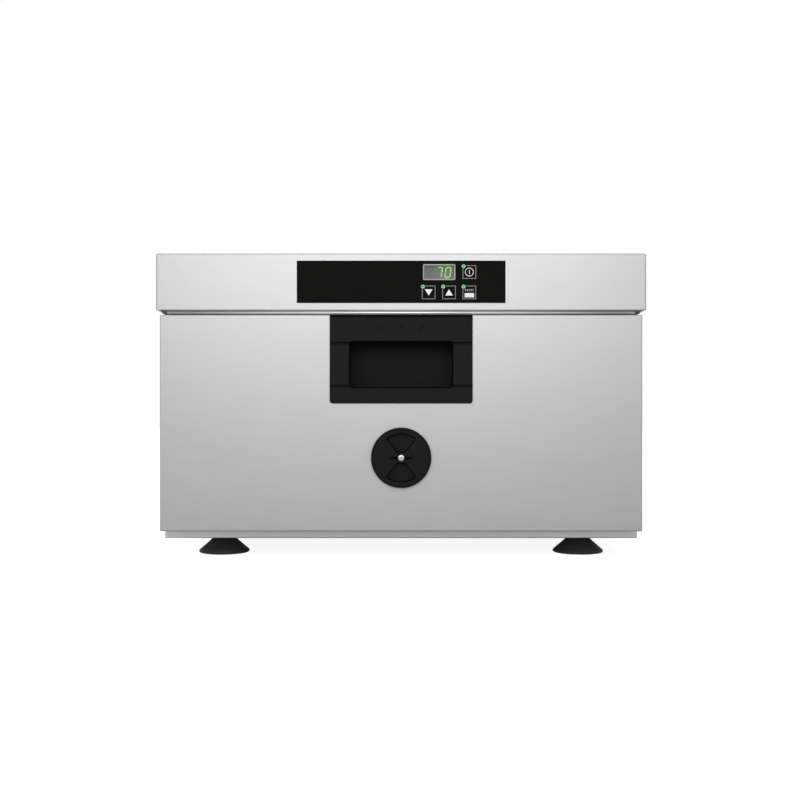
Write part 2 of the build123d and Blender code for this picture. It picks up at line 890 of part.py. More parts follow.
def drawer_front_skin():
    """The folded outer face of the drawer, open at the back."""
    width = drawer_width
    face = slab(Pos(0, drawer_center_z()) * Rectangle(width, drawer_height()), 0, drawer_skin_depth)
    face = fillet(face.edges().group_by(Axis.Y)[0], sheet)
    room = Pos(0, drawer_center_z()) * Rectangle(width - 2 * sheet, drawer_height() - 2 * sheet)
    face -= slab(room, sheet, drawer_skin_depth)
    face -= slab(handle_opening(), 0, sheet)
    face -= rod(0, vent_z, 0, sheet, vent_sleeve_diameter + 2 * screw_fit)
    return face


def plug_outline(inset=0.0):
    """The raised part of the inner skin that enters the chamber's mouth."""
    width = 2 * (half_plug - inset)
    height = plug_top_z - plug_bottom_z - 2 * inset
    return rounded(width, height, 0, (plug_top_z + plug_bottom_z) / 2, chamber_corner - inset)


def drawer_inner_skin():
    """The drawer's inner sheet: a flange inside the front skin, and a pressed plug."""
    inset = sheet + moving_gap
    outline = Rectangle(drawer_width - 2 * inset, drawer_height() - 2 * inset)
    flange = slab(Pos(0, drawer_center_z()) * outline, drawer_skin_depth - sheet, drawer_skin_depth)
    skin = flange + slab(plug_outline(), drawer_skin_depth, plug_back)
    skin -= slab(plug_outline(sheet), drawer_skin_depth - sheet, plug_back - sheet)
    skin -= rod(0, vent_z, plug_back - sheet, plug_back, vent_sleeve_diameter + 2 * screw_fit)
    for x, z in frame_screw_places():
        skin -= rod(x, z, plug_back - sheet, plug_back, screw_hole)
    return skin


def drawer_insulation():
    """The mineral wool inside the drawer front, cut out round the handle and the vent."""
    front = sheet + moving_gap
    back = drawer_skin_depth - sheet - moving_gap
    inset = sheet + 2 * moving_gap
    room_margin = frame_sheet + 2 * moving_gap
    outline = Rectangle(drawer_width - 2 * inset, drawer_height() - 2 * inset)
    wool = slab(Pos(0, drawer_center_z()) * outline, front, back)
    wool += slab(plug_outline(sheet + moving_gap), back, plug_back - sheet - moving_gap)
    half_room = handle_width / 2 - handle_overlap + room_margin
    room_low = handle_bottom_z + handle_overlap - room_margin
    wool -= block(-half_room, half_room, front, recess_depth + recess_wall + sheet,
                  room_low, handle_top_z)
    wool -= rod(0, vent_z, front, plug_back, vent_diameter + sheet)
    for x, z in frame_screw_places():
        wool -= rod(x, z, plug_back - frame_screw_room, plug_back, screw_head + sheet)
    return wool


def drawer_gasket():
    """The silicone ring on the drawer's flange, just clear of the front frame."""
    inner = mouth_outline(gasket_inset)
    outer = mouth_outline(gasket_inset + gasket_width)
    return slab(outer - inner, drawer_skin_depth, frame_y - moving_gap)


def frame_screw_places():
    """Screws that hold the carrying frame to the inner skin, clear of the handle and the vent."""
    return [
        (side * x, ledge_z - frame_screw_drop - step * frame_screw_pitch)
        for side in (-1, 1)
        for x in (handle_width * 0.73, half_plug * 0.9)
        for step in (0, 1)
    ]


def frame_screws():
    """Screws from inside the drawer front, through the skin into the frame's front plate."""
    screws = []
    for x, z in frame_screw_places():
        seat = plug_back - sheet
        head = rod(x, z, seat - screw_head_height, seat, screw_head)
        screws.append(head + rod(x, z, seat, slide_front + frame_screw_tail, screw_shank))
    return screws


def rail_screw_ys():
    """Places of the screws between the frame's rails and the inner slide members."""
    middle = slide_front + slide_length / 2
    spread = slide_length * rail_screw_spread
    return [middle - spread, middle, middle + spread]


def rail_screws():
    """Screws from inside the frame, through its rails into the inner slide members."""
    screws = []
    for y in rail_screw_ys():
        length = frame_sheet + slide_wall
        screw = screw_across(half_frame, 1, y, slide_center_z, length)
        screws += [screw, mirrored(screw)]
    return screws


def drawer_frame():
    """The welded frame that carries the pan by its rim: two rails, a front and a rear plate."""
    outer = half_frame + frame_sheet
    low = ledge_z - frame_rail_drop
    plate_low = ledge_z - frame_plate_drop
    rear = frame_rear + frame_sheet
    rail = block(half_frame, outer, frame_front, rear, low, ledge_z)
    for y in rail_screw_ys():
        rail -= cross_rod(half_frame, outer, y, slide_center_z, screw_hole)
    ledge = block(half_frame - frame_ledge, half_frame, frame_front, rear, ledge_z - frame_sheet, ledge_z)
    right = rail + ledge
    front = block(-half_frame, half_frame, frame_front, slide_front, plate_low, ledge_z)
    for x, z in frame_screw_places():
        front -= rod(x, z, frame_front, slide_front, screw_hole)
    front_seat_end = slide_front + frame_ledge
    front_seat = block(-half_frame, half_frame, frame_front, front_seat_end, ledge_z - frame_sheet, ledge_z)
    back = block(-half_frame, half_frame, frame_rear, rear, plate_low, ledge_z)
    back_seat = block(-half_frame, half_frame, frame_rear - frame_ledge, rear, ledge_z - frame_sheet, ledge_z)
    return right + mirrored(right) + front + front_seat + back + back_seat


def gastronorm_pan():
    """The food pan: a rim with a turned-down edge round a tapered, round-cornered tub."""
    center_y = pan_front + pan_length / 2
    rim_radius = pan_corner - pan_rim
    top = Plane(origin=(0, center_y, pan_top_z))
    bottom = Plane(origin=(0, center_y, pan_top_z - pan_depth))
    width = pan_width - 2 * pan_rim
    length = pan_length - 2 * pan_rim

    def tub(wall, floor_z, head_z):
        high = Plane(origin=(0, center_y, head_z))
        low = Plane(origin=(0, center_y, floor_z))
        wide = high * RectangleRounded(width - 2 * wall, length - 2 * wall, pan_corner - wall)
        taper = 2 * (pan_taper + wall)
        narrow = low * RectangleRounded(width - taper, length - taper, pan_corner - wall)
        return loft([narrow, wide])

    outer = tub(0, bottom.origin.Z, pan_top_z)
    inner = tub(thin_sheet, bottom.origin.Z + thin_sheet, pan_top_z)
    rim = extrude(top * RectangleRounded(pan_width, pan_length, rim_radius), -(pan_rim_lip + sheet))
    under = Plane(origin=(0, center_y, pan_top_z - sheet))
    hollow = RectangleRounded(pan_width - 2 * sheet, pan_length - 2 * sheet, rim_radius - sheet)
    rim -= extrude(under * hollow, -pan_rim_lip)
    return rim + outer - inner


# --- Handle --------------------------------------------------------------------------------------
def handle():
    """The moulded handle: a bezel on the drawer's face and a finger recess with an undercut."""
    outline = rounded(handle_width, handle_height, 0, handle_center_z, handle_corner)
    bezel = slab(outline, -handle_proud, 0)
    bezel = fillet(bezel.edges().group_by(Axis.Y)[0], handle_edge)
    body_back = recess_depth + recess_wall
    pocket_top = recess_bottom_z + recess_height + grip_undercut
    cup = block(-recess_width / 2 - recess_wall, recess_width / 2 + recess_wall, 0, body_back,
                recess_bottom_z - recess_wall, pocket_top + recess_wall)
    frame = slab(handle_opening(-moving_gap), 0, handle_frame_depth)
    frame -= slab(handle_opening(-moving_gap - 2 * recess_wall), 0, handle_frame_depth)
    part = bezel + cup + frame
    for x, z in handle_boss_places():
        part += rod(x, z, 0, handle_boss_depth, handle_boss)
        part -= rod(x, z, sheet, handle_boss_depth, handle_screw_shank + 2 * screw_fit)
    mouth = rounded(recess_width, recess_height, 0, recess_center_z, handle_corner)
    part -= slab(mouth, -handle_proud, recess_depth)
    pocket = block(-recess_width / 2, recess_width / 2, grip_lip, recess_depth,
                   recess_bottom_z, pocket_top)
    pocket = fillet(pocket.edges().filter_by(Axis.Y), handle_corner)
    part -= pocket
    for index in (-1, 0, 1):
        x = index * dimple_pitch
        z = handle_top_z - dimple_drop
        bowl = Pos(x, -handle_proud - dimple_sphere_out, z) * Sphere(dimple_sphere)
        part -= bowl
    for z in (recess_bottom_z + recess_height - groove_width, recess_bottom_z + groove_width):
        low = z - groove_width / 2
        for side in (-1, 1):
            inner = side * recess_width / 2
            outer = side * handle_width / 2
            part -= block(min(inner, outer), max(inner, outer), -handle_proud,
                          -handle_proud + groove_depth, low, low + groove_width)
    return part


def handle_boss_x():
    """The bosses stand halfway between the recess and the side of the opening."""
    return (recess_width + handle_width - 2 * handle_overlap) / 4


def handle_boss_places():
    """Bosses beside the recess, for the screws that clamp the handle to the face."""
    return [
        (side * handle_boss_x(), handle_center_z + lift)
        for side in (-1, 1)
        for lift in (-handle_boss_lift, handle_boss_lift)
    ]


def handle_clamps():
    """Two bridge-shaped steel straps. Their legs bear on the face's back, beyond the opening."""
    seat = handle_boss_depth
    back = seat + frame_sheet
    reach = handle_height / 2 - handle_overlap + moving_gap + frame_sheet
    x0 = handle_boss_x() - handle_boss / 2
    x1 = handle_boss_x() + handle_boss / 2
    strap = block(x0, x1, sheet, back, handle_center_z - reach, handle_center_z + reach)
    inner = reach - frame_sheet
    strap -= block(x0, x1, sheet, seat, handle_center_z - inner, handle_center_z + inner)
    for lift in (-handle_boss_lift, handle_boss_lift):
        z = handle_center_z + lift
        strap -= rod(handle_boss_x(), z, seat, back, handle_screw_shank + 2 * screw_fit)
    return [strap, mirrored(strap)]


def handle_screws():
    """Screws through the straps into the handle's bosses."""
    seat = handle_boss_depth + frame_sheet
    screws = []
    for x, z in handle_boss_places():
        screws.append(screw_back(x, z, seat, seat - 2 * sheet, handle_screw_shank))
    return screws


# --- Humidity vent -------------------------------------------------------------------------------
def window_pair(turn, depth_from, depth_to):
    """Two sector windows on opposite sides of the pin, turned about it."""
    cuts = None
    for base in (90, 270):
        center = base + turn
        start = center - window_half_angle
        arc_out = CenterArc((0, 0), window_outer_radius, start, 2 * window_half_angle)
        arc_in = CenterArc((0, 0), window_inner_radius, start, 2 * window_half_angle)
        face = make_face([
            arc_out,
            arc_in,
            Line(arc_out @ 0, arc_in @ 0),
            Line(arc_out @ 1, arc_in @ 1),
        ])
        cut = slab(Pos(0, vent_z) * face, depth_from, depth_to)
        cuts = cut if cuts is None else cuts + cut
    return cuts


def vent_base():
    """The fixed body: a rim round the disc's pocket, a holed floor and a short spigot."""
    body = rod(0, vent_z, -vent_proud, 0, vent_diameter)
    body = fillet(body.edges().group_by(Axis.Y)[0], vent_edge)
    body -= rod(0, vent_z, -vent_proud, vent_pocket_back, 2 * (vent_disc_radius + moving_gap))
    body += rod(0, vent_z, 0, vent_spigot, vent_sleeve_diameter)
    body -= rod(0, vent_z, vent_floor, vent_spigot, vent_sleeve_diameter - 2 * vent_sleeve_wall)
    body -= window_pair(90, vent_pocket_back, vent_floor)
    body += rod(0, vent_z, vent_floor, vent_spigot / 2, vent_hub)
    body -= rod(0, vent_z, vent_pocket_back, vent_spigot, vent_pin_diameter + 2 * vent_fit)
    return body


def vent_disc():
    """The turning shutter, with two windows and a tapered grip ridge."""
    disc = rod(0, vent_z, vent_disc_front, vent_disc_back, 2 * vent_disc_radius)
    disc -= window_pair(0, vent_disc_front, vent_disc_back)
    ridge_outline = Polygon(
        (-grip_length / 2, 0),
        (0, -grip_height / 2),
        (grip_length / 2, 0),
        (0, grip_height / 2),
    )
    disc += slab(Pos(0, vent_z) * ridge_outline, vent_disc_front - grip_proud, vent_disc_front)
    disc -= rod(0, vent_z, vent_disc_front - grip_proud, vent_disc_back, vent_pin_diameter + 2 * vent_fit)
    disc -= rod(0, vent_z, vent_disc_front - grip_proud, vent_disc_front, vent_pin_head + 2 * moving_gap)
    return disc


def vent_pin():
    """The pin that the disc turns on, with its domed head and its lock nut."""
    head_back = vent_disc_front - moving_gap
    front = head_back - vent_pin_head_height + moving_gap
    head = rod(0, vent_z, front, head_back, vent_pin_head)
    head = fillet(head.edges().group_by(Axis.Y)[0], vent_pin_dome)
    seat = vent_spigot / 2
    shank = rod(0, vent_z, head_back, seat + vent_pin_tail, vent_pin_diameter)
    nut = slab(Pos(0, vent_z) * RegularPolygon(vent_pin_diameter, 6), seat, seat + vent_pin_nut)
    return head + shank + nut


def vent_sleeve():
    """The tube that carries the steam through the drawer front."""
    outer = vent_sleeve_diameter - 2 * vent_sleeve_wall - 2 * moving_gap
    front = vent_spigot - vent_sleeve_lap
    tube = rod(0, vent_z, front, plug_back - sheet, outer)
    return tube - rod(0, vent_z, front, plug_back - sheet, outer - 2 * sheet)


def vent_inner_grille():
    """The round cap inside the chamber, with three slots in a row."""
    cap = rod(0, vent_z, plug_back, plug_back + sheet, vent_diameter)
    neck_front = plug_back - sheet - grille_neck
    cap += rod(0, vent_z, neck_front, plug_back, vent_sleeve_diameter)
    cap -= rod(0, vent_z, neck_front, plug_back, vent_sleeve_diameter - 2 * sheet)
    for step in (-1, 0, 1):
        slot = Pos(0, vent_z + step * grille_slot_pitch) * SlotOverall(grille_slot_length, grille_slot_width)
        cap -= slab(slot, plug_back, plug_back + sheet)
    return cap


# --- Control panel -------------------------------------------------------------------------------
def key_outline(x, z, growth=0.0):
    """A key's square, less the round corner where its lamp sits."""
    square = Pos(x, z) * Rectangle(key_size + 2 * growth, key_size + 2 * growth)
    return square - lamp_outline(x, z, key_gap - growth)


def lamp_outline(x, z, growth=0.0):
    """The round lamp at a key's upper left corner."""
    return Pos(x - lamp_offset, z + lamp_offset) * Circle(lamp_diameter / 2 + growth)


def control_panel():
    """The black overlay on the hood's face, holed for the display, the keys and their lamps."""
    plate = slab(Pos(0, panel_z) * Rectangle(panel_width, panel_height), -panel_thickness, 0)
    for x, z in key_places.values():
        plate -= slab(Pos(x, z) * Rectangle(key_size + 2 * key_gap, key_size + 2 * key_gap),
                      -panel_thickness, 0)
        plate -= slab(lamp_outline(x, z, key_gap), -panel_thickness, 0)
    plate -= slab(Pos(display_x, display_z) * Rectangle(display_width, display_height),
                  -panel_thickness, 0)
    return plate


def key_cap(name):
    """A flat key with its stem, which stands just off the switch's plunger."""
    x, z = key_places[name]
    cap = slab(key_outline(x, z), -panel_thickness, key_cap_depth)
    return cap + rod(x, z, key_cap_depth, key_stem_end, key_stem)


def key_lamps():
    """The four light guides, from the board to the face."""
    lamps = []
    for x, z in key_places.values():
        lamps.append(slab(lamp_outline(x, z), -panel_thickness, board_y - moving_gap))
    return lamps


def key_switches():
    """Four small switches on the board, under the keys' stems."""
    switches = []
    for x, z in key_places.values():
        body = slab(Pos(x, z) * Rectangle(switch_size, switch_size), switch_front, board_y)
        plunger = rod(x, z, key_stem_end + key_travel + plunger_gap, switch_front, key_stem)
        switches.append(body + plunger)
    return switches


def display_bezel():
    """The thin bright frame round the display's window."""
    outer = rounded(display_width - 2 * key_gap, display_height - 2 * key_gap, display_x, display_z,
                    display_corner)
    inner = Pos(display_x, display_z) * Rectangle(
        display_width - 2 * display_frame, display_height - 2 * display_frame)
    return slab(outer - inner, -panel_thickness, sheet)


def display_window():
    """The clear window, set behind the bezel's face."""
    width = display_width - 2 * display_frame - 2 * key_gap
    height = display_height - 2 * display_frame - 2 * key_gap
    return slab(Pos(display_x, display_z) * Rectangle(width, height), 0, sheet)


def display_module():
    """The grey digit block on the board, behind the window."""
    width = display_width - 2 * display_frame
    height = display_height - 2 * display_frame
    outline = Pos(display_x, display_z) * Rectangle(width, height)
    return slab(outline, display_digit_y + digit_depth, board_y)


def segment_bars():
    """Each bar of a digit: its middle and whether it stands upright."""
    reach_x = (digit_width - digit_stroke) / 2
    reach_z = (digit_height - digit_stroke) / 4
    return {
        "top": (0, 2 * reach_z, False),
        "middle": (0, 0, False),
        "bottom": (0, -2 * reach_z, False),
        "upper_left": (-reach_x, reach_z, True),
        "upper_right": (reach_x, reach_z, True),
        "lower_left": (-reach_x, -reach_z, True),
        "lower_right": (reach_x, -reach_z, True),
    }


def lit_digit(x, z, bars):
    """The lit bars of one slanted digit, each a separate solid."""
    lean = math.tan(math.radians(digit_slant))
    places = segment_bars()
    long_x = (digit_width - digit_stroke) / 2 - segment_gap
    long_z = (digit_height - digit_stroke) / 4 - segment_gap
    half = digit_stroke / 2
    solids = []
    for name in bars:
        dx, dz, standing = places[name]
        if standing:
            corners = [(-half, -long_z + half), (0, -long_z), (half, -long_z + half),
                       (half, long_z - half), (0, long_z), (-half, long_z - half)]
        else:
            corners = [(-long_x, 0), (-long_x + half, -half), (long_x - half, -half),
                       (long_x, 0), (long_x - half, half), (-long_x + half, half)]
        slanted = [(x + dx + px + lean * (dz + pz), z + dz + pz) for px, pz in corners]
        bar = Polygon(*slanted, align=None)
        solids.append(slab(bar, display_digit_y, display_digit_y + digit_depth))
    return solids


def display_digits():
    """The number 70 in seven-bar digits."""
    right = display_x + display_width / 2 - display_frame - digit_width / 2 - digit_margin
    seven = lit_digit(right - digit_width - digit_spacing, display_z,
                      ["top", "upper_right", "lower_right"])
    zero = lit_digit(right, display_z,
                     ["top", "bottom", "upper_left", "upper_right", "lower_left", "lower_right"])
    return seven + zero


def board_post_places():
    x = panel_width / 2 - stud_side_inset
    z = panel_height / 2 - stud_edge_inset
    return [(side * x, panel_z + lift) for side in (-1, 1) for lift in (-z, z)]


def control_board():
    """The printed board behind the hood's face, with its processor and its connector."""
    back = board_y + board_thickness
    board = slab(Pos(0, panel_z) * Rectangle(panel_width, panel_height), board_y, back)
    for x, z in board_post_places():
        board -= rod(x, z, board_y, back, stud_diameter + 2 * screw_fit)
    board += slab(Pos(chip_x, panel_z) * Rectangle(chip_size, chip_size), back, back + chip_height)
    connector = Pos(connector_x, panel_z) * Rectangle(connector_length, connector_height)
    return board + slab(connector, back, back + connector_depth)


def board_studs():
    """Welded studs behind the hood's face, with a spacer and a nut on each."""
    studs = []
    for x, z in board_post_places():
        spacer = rod(x, z, sheet, board_y, stud_diameter * 2)
        back = board_y + board_thickness
        stud = rod(x, z, board_y, back + stud_tail, stud_diameter)
        nut = slab(Pos(x, z) * RegularPolygon(stud_diameter, 6), back, back + stud_nut_height)
        studs.append(spacer + stud + nut)
    return studs


# --- Feet and cabinet screws ---------------------------------------------------------------------
def foot(x, y):
    """A conical rubber foot, with a bead round its base and a recess for its screw."""
    top = foot_top_diameter / 2
    base = foot_base_diameter / 2
    bead = foot_lip / 2
    profile = Plane.XZ * make_face([
        Polyline((0, 0), (base - bead, 0)),
        ThreePointArc((base - bead, 0), (base, bead), (base - bead * 0.3, foot_lip * 0.85)),
        Polyline((base - bead * 0.3, foot_lip * 0.85), (top, foot_height), (0, foot_height), (0, 0)),
    ])
    cone = Pos(x, y, 0) * revolve(profile, Axis.Z)
    cone -= post(x, y, 0, foot_height, foot_screw_shank + 2 * screw_fit)
    return cone - post(x, y, 0, foot_recess, foot_recess_diameter)


def foot_screws():
    """The screws up through the feet into the tray's welded nuts."""
    screws = []
    for x, y in foot_places:
        head = post(x, y, foot_recess - screw_head_height, foot_recess, foot_screw_head)
        screws.append(head + post(x, y, foot_recess, tray_top_z + weld_nut_height, foot_screw_shank))
    return screws


def cover_screws():
    """The screws through the hood's rear lip and the rear panel's edges."""
    screws = []
    for x in rear_screw_xs():
        screws.append(screw_back(x, total_height - rear_lip / 2, body_depth, cover_screw_length))
    for z in rear_screw_zs():
        for side in (-1, 1):
            screws.append(screw_back(side * rear_screw_x(), z, rear_inner + sheet, cover_screw_length))
    return screws


# --- Writing the pieces --------------------------------------------------------------------------
def save(name, shape):
    """Write one node, a single piece or a group of separate solids."""
    pieces = shape if isinstance(shape, list) else [shape]
    solids = [solid for piece in pieces for solid in piece.solids()]
    moved = [Pos(0, depth_shift, 0) * solid for solid in solids]
    whole = moved[0] if len(moved) == 1 else Compound(moved)
    export_step(whole, "parts/" + name + ".step")


def main():
    os.makedirs("parts", exist_ok=True)
    save("hood_cover", hood_cover())
    save("side_panel_right", side_panel())
    save("side_panel_left", mirrored(side_panel()))
    save("rear_panel", rear_panel())
    save("base_tray", base_tray())
    save("front_frame", front_frame())
    save("chamber_liner", chamber_liner())
    save("heating_cable", heating_cable())
    save("chamber_insulation", chamber_insulation())
    save("temperature_probe", temperature_probe())
    save("control_floor", control_floor())
    save("power_board", power_board())
    save("transformer", transformer())
    save("safety_thermostat", safety_thermostat())
    save("terminal_block", terminal_block())
    save("cable_gland", cable_gland())
    save("gland_locknut", gland_locknut())
    save("bonding_stud", bonding_stud())
    save("slide_outer_right", slide_outer())
    save("slide_outer_left", mirrored(slide_outer()))
    save("slide_rivets", slide_rivets())
    save("slide_middle_right", slide_middle())
    save("slide_middle_left", mirrored(slide_middle()))
    save("slide_inner_right", slide_inner())
    save("slide_inner_left", mirrored(slide_inner()))
    save("outer_ball_cages", outer_cages())
    save("inner_ball_cages", inner_cages())
    save("drawer_front_skin", drawer_front_skin())
    save("drawer_inner_skin", drawer_inner_skin())
    save("drawer_insulation", drawer_insulation())
    save("drawer_gasket", drawer_gasket())
    save("drawer_frame", drawer_frame())
    save("frame_screws", frame_screws())
    save("rail_screws", rail_screws())
    save("gastronorm_pan", gastronorm_pan())
    save("handle", handle())
    save("handle_clamps", handle_clamps())
    save("handle_screws", handle_screws())
    save("vent_base", vent_base())
    save("vent_disc", vent_disc())
    save("vent_pin", vent_pin())
    save("vent_sleeve", vent_sleeve())
    save("vent_inner_grille", vent_inner_grille())
    save("control_panel", control_panel())
    for name in key_places:
        save(name, key_cap(name))
    save("key_lamps", key_lamps())
    save("key_switches", key_switches())
    save("display_bezel", display_bezel())
    save("display_window", display_window())
    save("display_module", display_module())
    save("display_digits", display_digits())
    save("control_board", control_board())
    save("board_studs", board_studs())
    save("feet", [foot(x, y) for x, y in foot_places])
    save("foot_screws", foot_screws())
    save("cover_screws", cover_screws())


main()
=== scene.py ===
"""Looks of a countertop warming drawer, dressed round its packed construction frame.

The frame gives every solid, its place and the body it moves with. This script gives each surface
its finish, adds the printed marks and the finer pieces, and sets a plain studio round the object.
"""

import json
import logging
import math
from dataclasses import dataclass
from enum import Enum
from typing import Callable, Sequence

import bmesh
import bpy
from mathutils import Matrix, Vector


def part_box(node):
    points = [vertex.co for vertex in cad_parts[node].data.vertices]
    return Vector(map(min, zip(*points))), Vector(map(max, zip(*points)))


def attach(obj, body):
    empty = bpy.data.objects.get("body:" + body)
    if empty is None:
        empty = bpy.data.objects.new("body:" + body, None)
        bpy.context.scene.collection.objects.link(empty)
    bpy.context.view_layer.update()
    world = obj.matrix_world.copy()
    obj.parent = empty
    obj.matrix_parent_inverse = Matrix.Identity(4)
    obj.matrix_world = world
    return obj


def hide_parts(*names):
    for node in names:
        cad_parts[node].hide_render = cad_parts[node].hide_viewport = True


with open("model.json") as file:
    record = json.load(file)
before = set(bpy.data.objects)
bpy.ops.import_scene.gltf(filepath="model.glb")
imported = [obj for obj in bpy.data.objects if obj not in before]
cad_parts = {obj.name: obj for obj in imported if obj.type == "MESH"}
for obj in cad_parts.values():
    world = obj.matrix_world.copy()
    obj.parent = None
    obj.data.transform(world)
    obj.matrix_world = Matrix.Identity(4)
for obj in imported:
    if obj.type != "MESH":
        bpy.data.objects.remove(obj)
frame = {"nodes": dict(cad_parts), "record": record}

LOG = logging.getLogger("warming_drawer")
MM = 0.001
MERGE_DISTANCE = 1e-6
KEYS = ("key_power", "key_down", "key_up", "key_start_stop")
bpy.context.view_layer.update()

# A Mix node's sockets by number: the factor, two numbers, two colours, and the mixed colour.
MIX_FACTOR, MIX_LOW, MIX_HIGH, MIX_LOW_COLOR, MIX_HIGH_COLOR, MIXED_COLOR = 0, 2, 3, 6, 7, 2
# Nearly all of a noise's factor lies between these two.
NOISE_LOW, NOISE_HIGH = 0.25, 0.75

Point = tuple[float, float]
Outline = Sequence[Point]
Draw = Callable[[bmesh.types.BMesh], None]
Tree = bpy.types.NodeTree
Socket = bpy.types.NodeSocket


class Axis(Enum):
    """The way that a sheet's brushed grain runs over a face."""

    ACROSS = "x"
    BACK = "y"


# --- Node helpers ---
def linear(hex_color: str) -> tuple[float, float, float, float]:
    """Turn an sRGB hex colour into the linear values that a shader socket takes.

    Args:
        hex_color: Six hex digits.

    Returns:
        Red, green and blue in linear light, and an alpha of 1.
    """
    channels = [int(hex_color[place:place + 2], 16) / 255 for place in (0, 2, 4)]
    curve = [c / 12.92 if c <= 0.04045 else ((c + 0.055) / 1.055) ** 2.4 for c in channels]
    return (curve[0], curve[1], curve[2], 1.0)


def wire(tree: Tree, node: bpy.types.Node, links: dict) -> None:
    """Fill a node's sockets.

    Args:
        tree: The node's tree.
        node: The node.
        links: Socket name or number, to the value it holds or the output socket that feeds it.
    """
    for socket, source in links.items():
        if isinstance(source, bpy.types.NodeSocket):
            tree.links.new(source, node.inputs[socket])
        else:
            node.inputs[socket].default_value = source


def add_node(tree: Tree, kind: str, links: dict | None = None, **settings) -> bpy.types.Node:
    """Add one node with its settings, its socket values and its incoming links.

    Args:
        tree: The node tree that the node joins.
        kind: The node's type name.
        links: What wire() puts into its sockets.
        settings: Properties of the node itself.

    Returns:
        The new node.
    """
    node = tree.nodes.new(kind)
    for name, value in settings.items():
        setattr(node, name, value)
    wire(tree, node, links or {})
    return node


def blank_material(name: str) -> tuple[bpy.types.Material, Tree, bpy.types.Node]:
    """Make a material that holds one Principled shader and its output.

    Args:
        name: The material's name.

    Returns:
        The material, its tree and its Principled node.
    """
    material = bpy.data.materials.new(name)
    material.use_nodes = True
    tree = material.node_tree
    tree.nodes.clear()
    shader = add_node(tree, "ShaderNodeBsdfPrincipled")
    add_node(tree, "ShaderNodeOutputMaterial", {"Surface": shader.outputs[0]})
    return material, tree, shader


def coordinate(tree: Tree, output: str) -> Socket:
    """One output of a Texture Coordinate node."""
    return add_node(tree, "ShaderNodeTexCoord").outputs[output]


def arith(tree: Tree, operation: str, *values: object) -> Socket:
    """One arithmetic step on sockets or numbers."""
    return add_node(tree, "ShaderNodeMath", dict(enumerate(values)), operation=operation).outputs[0]


def blend(tree: Tree, factor: object, low: object, high: object) -> Socket:
    """Blend two sockets or numbers by a factor."""
    return add_node(tree, "ShaderNodeMix", {MIX_FACTOR: factor, MIX_LOW: low, MIX_HIGH: high}).outputs[0]


def spread(tree: Tree, value: Socket, source: Point, target: Point) -> Socket:
    """Move a value from one range to another.

    Args:
        tree: The tree.
        value: The value to move.
        source: The low and high end of the range it comes from.
        target: The low and high end of the range it goes to.

    Returns:
        The moved value, held within the target range.
    """
    node = add_node(tree, "ShaderNodeMapRange", {
        "Value": value, "From Min": source[0], "From Max": source[1],
        "To Min": target[0], "To Max": target[1],
    })
    return node.outputs[0]


def around(tree: Tree, factor: Socket, value: float, reach: float) -> Socket:
    """Let a noise's factor move a value up and down by a reach."""
    return spread(tree, factor, (NOISE_LOW, NOISE_HIGH), (value - reach, value + reach))


def stretched_noise(tree: Tree, fine_mm: float, long_mm: float, axis: Axis) -> Socket:
    """Noise drawn out along one axis of the object, like the scratches of a belt.

    Args:
        tree: The material's tree.
        fine_mm: The spacing of the scratches across the grain.
        long_mm: The length of a scratch along the grain.
        axis: The axis that the grain runs along.

    Returns:
        The noise's factor.
    """
    across = 1 / (fine_mm * MM)
    along = 1 / (long_mm * MM)
    scale = (along, across, across) if axis is Axis.ACROSS else (across, along, across)
    place = add_node(tree, "ShaderNodeMapping", {"Vector": coordinate(tree, "Object"), "Scale": scale})
    noise = add_node(tree, "ShaderNodeTexNoise", {
        "Vector": place.outputs[0], "Scale": 1.0, "Detail": 2.0, "Roughness": 0.6,
    })
    return noise.outputs[0]


def even_noise(tree: Tree, size_mm: float) -> Socket:
    """Noise that is the same in every direction, at a real size.

    Args:
        tree: The material's tree.
        size_mm: The size of its clouds.

    Returns:
        The noise's factor.
    """
    noise = add_node(tree, "ShaderNodeTexNoise", {
        "Vector": coordinate(tree, "Object"), "Scale": 1 / (size_mm * MM), "Detail": 3.0,
    })
    return noise.outputs[0]


def bump(tree: Tree, height: Socket, depth_mm: float, strength: float) -> Socket:
    """Turn a height factor into a bumped normal of a real depth."""
    links = {"Height": height, "Distance": depth_mm * MM, "Strength": strength}
    return add_node(tree, "ShaderNodeBump", links).outputs[0]


# --- Finishes ---
@dataclass(frozen=True)
class Finish:
    """A recipe for a material, named for the real material."""

    name: str

    def sockets(self, tree: Tree) -> dict:
        """What the recipe puts into the Principled shader's sockets."""
        raise NotImplementedError

    def material(self) -> bpy.types.Material:
        """Build the material.

        Returns:
            The new material.
        """
        material, tree, shader = blank_material(self.name)
        wire(tree, shader, self.sockets(tree))
        return material


@dataclass(frozen=True)
class Toned(Finish):
    """A finish whose colour lies between two tones."""

    low_hex: str
    high_hex: str

    def tone(self, tree: Tree, factor: Socket) -> Socket:
        """Blend the two tones.

        Args:
            tree: The material's tree.
            factor: 0 gives the low tone and 1 the high one.

        Returns:
            The blended colour.
        """
        mix = add_node(tree, "ShaderNodeMix", {
            MIX_FACTOR: factor,
            MIX_LOW_COLOR: linear(self.low_hex),
            MIX_HIGH_COLOR: linear(self.high_hex),
        }, data_type="RGBA")
        return mix.outputs[MIXED_COLOR]


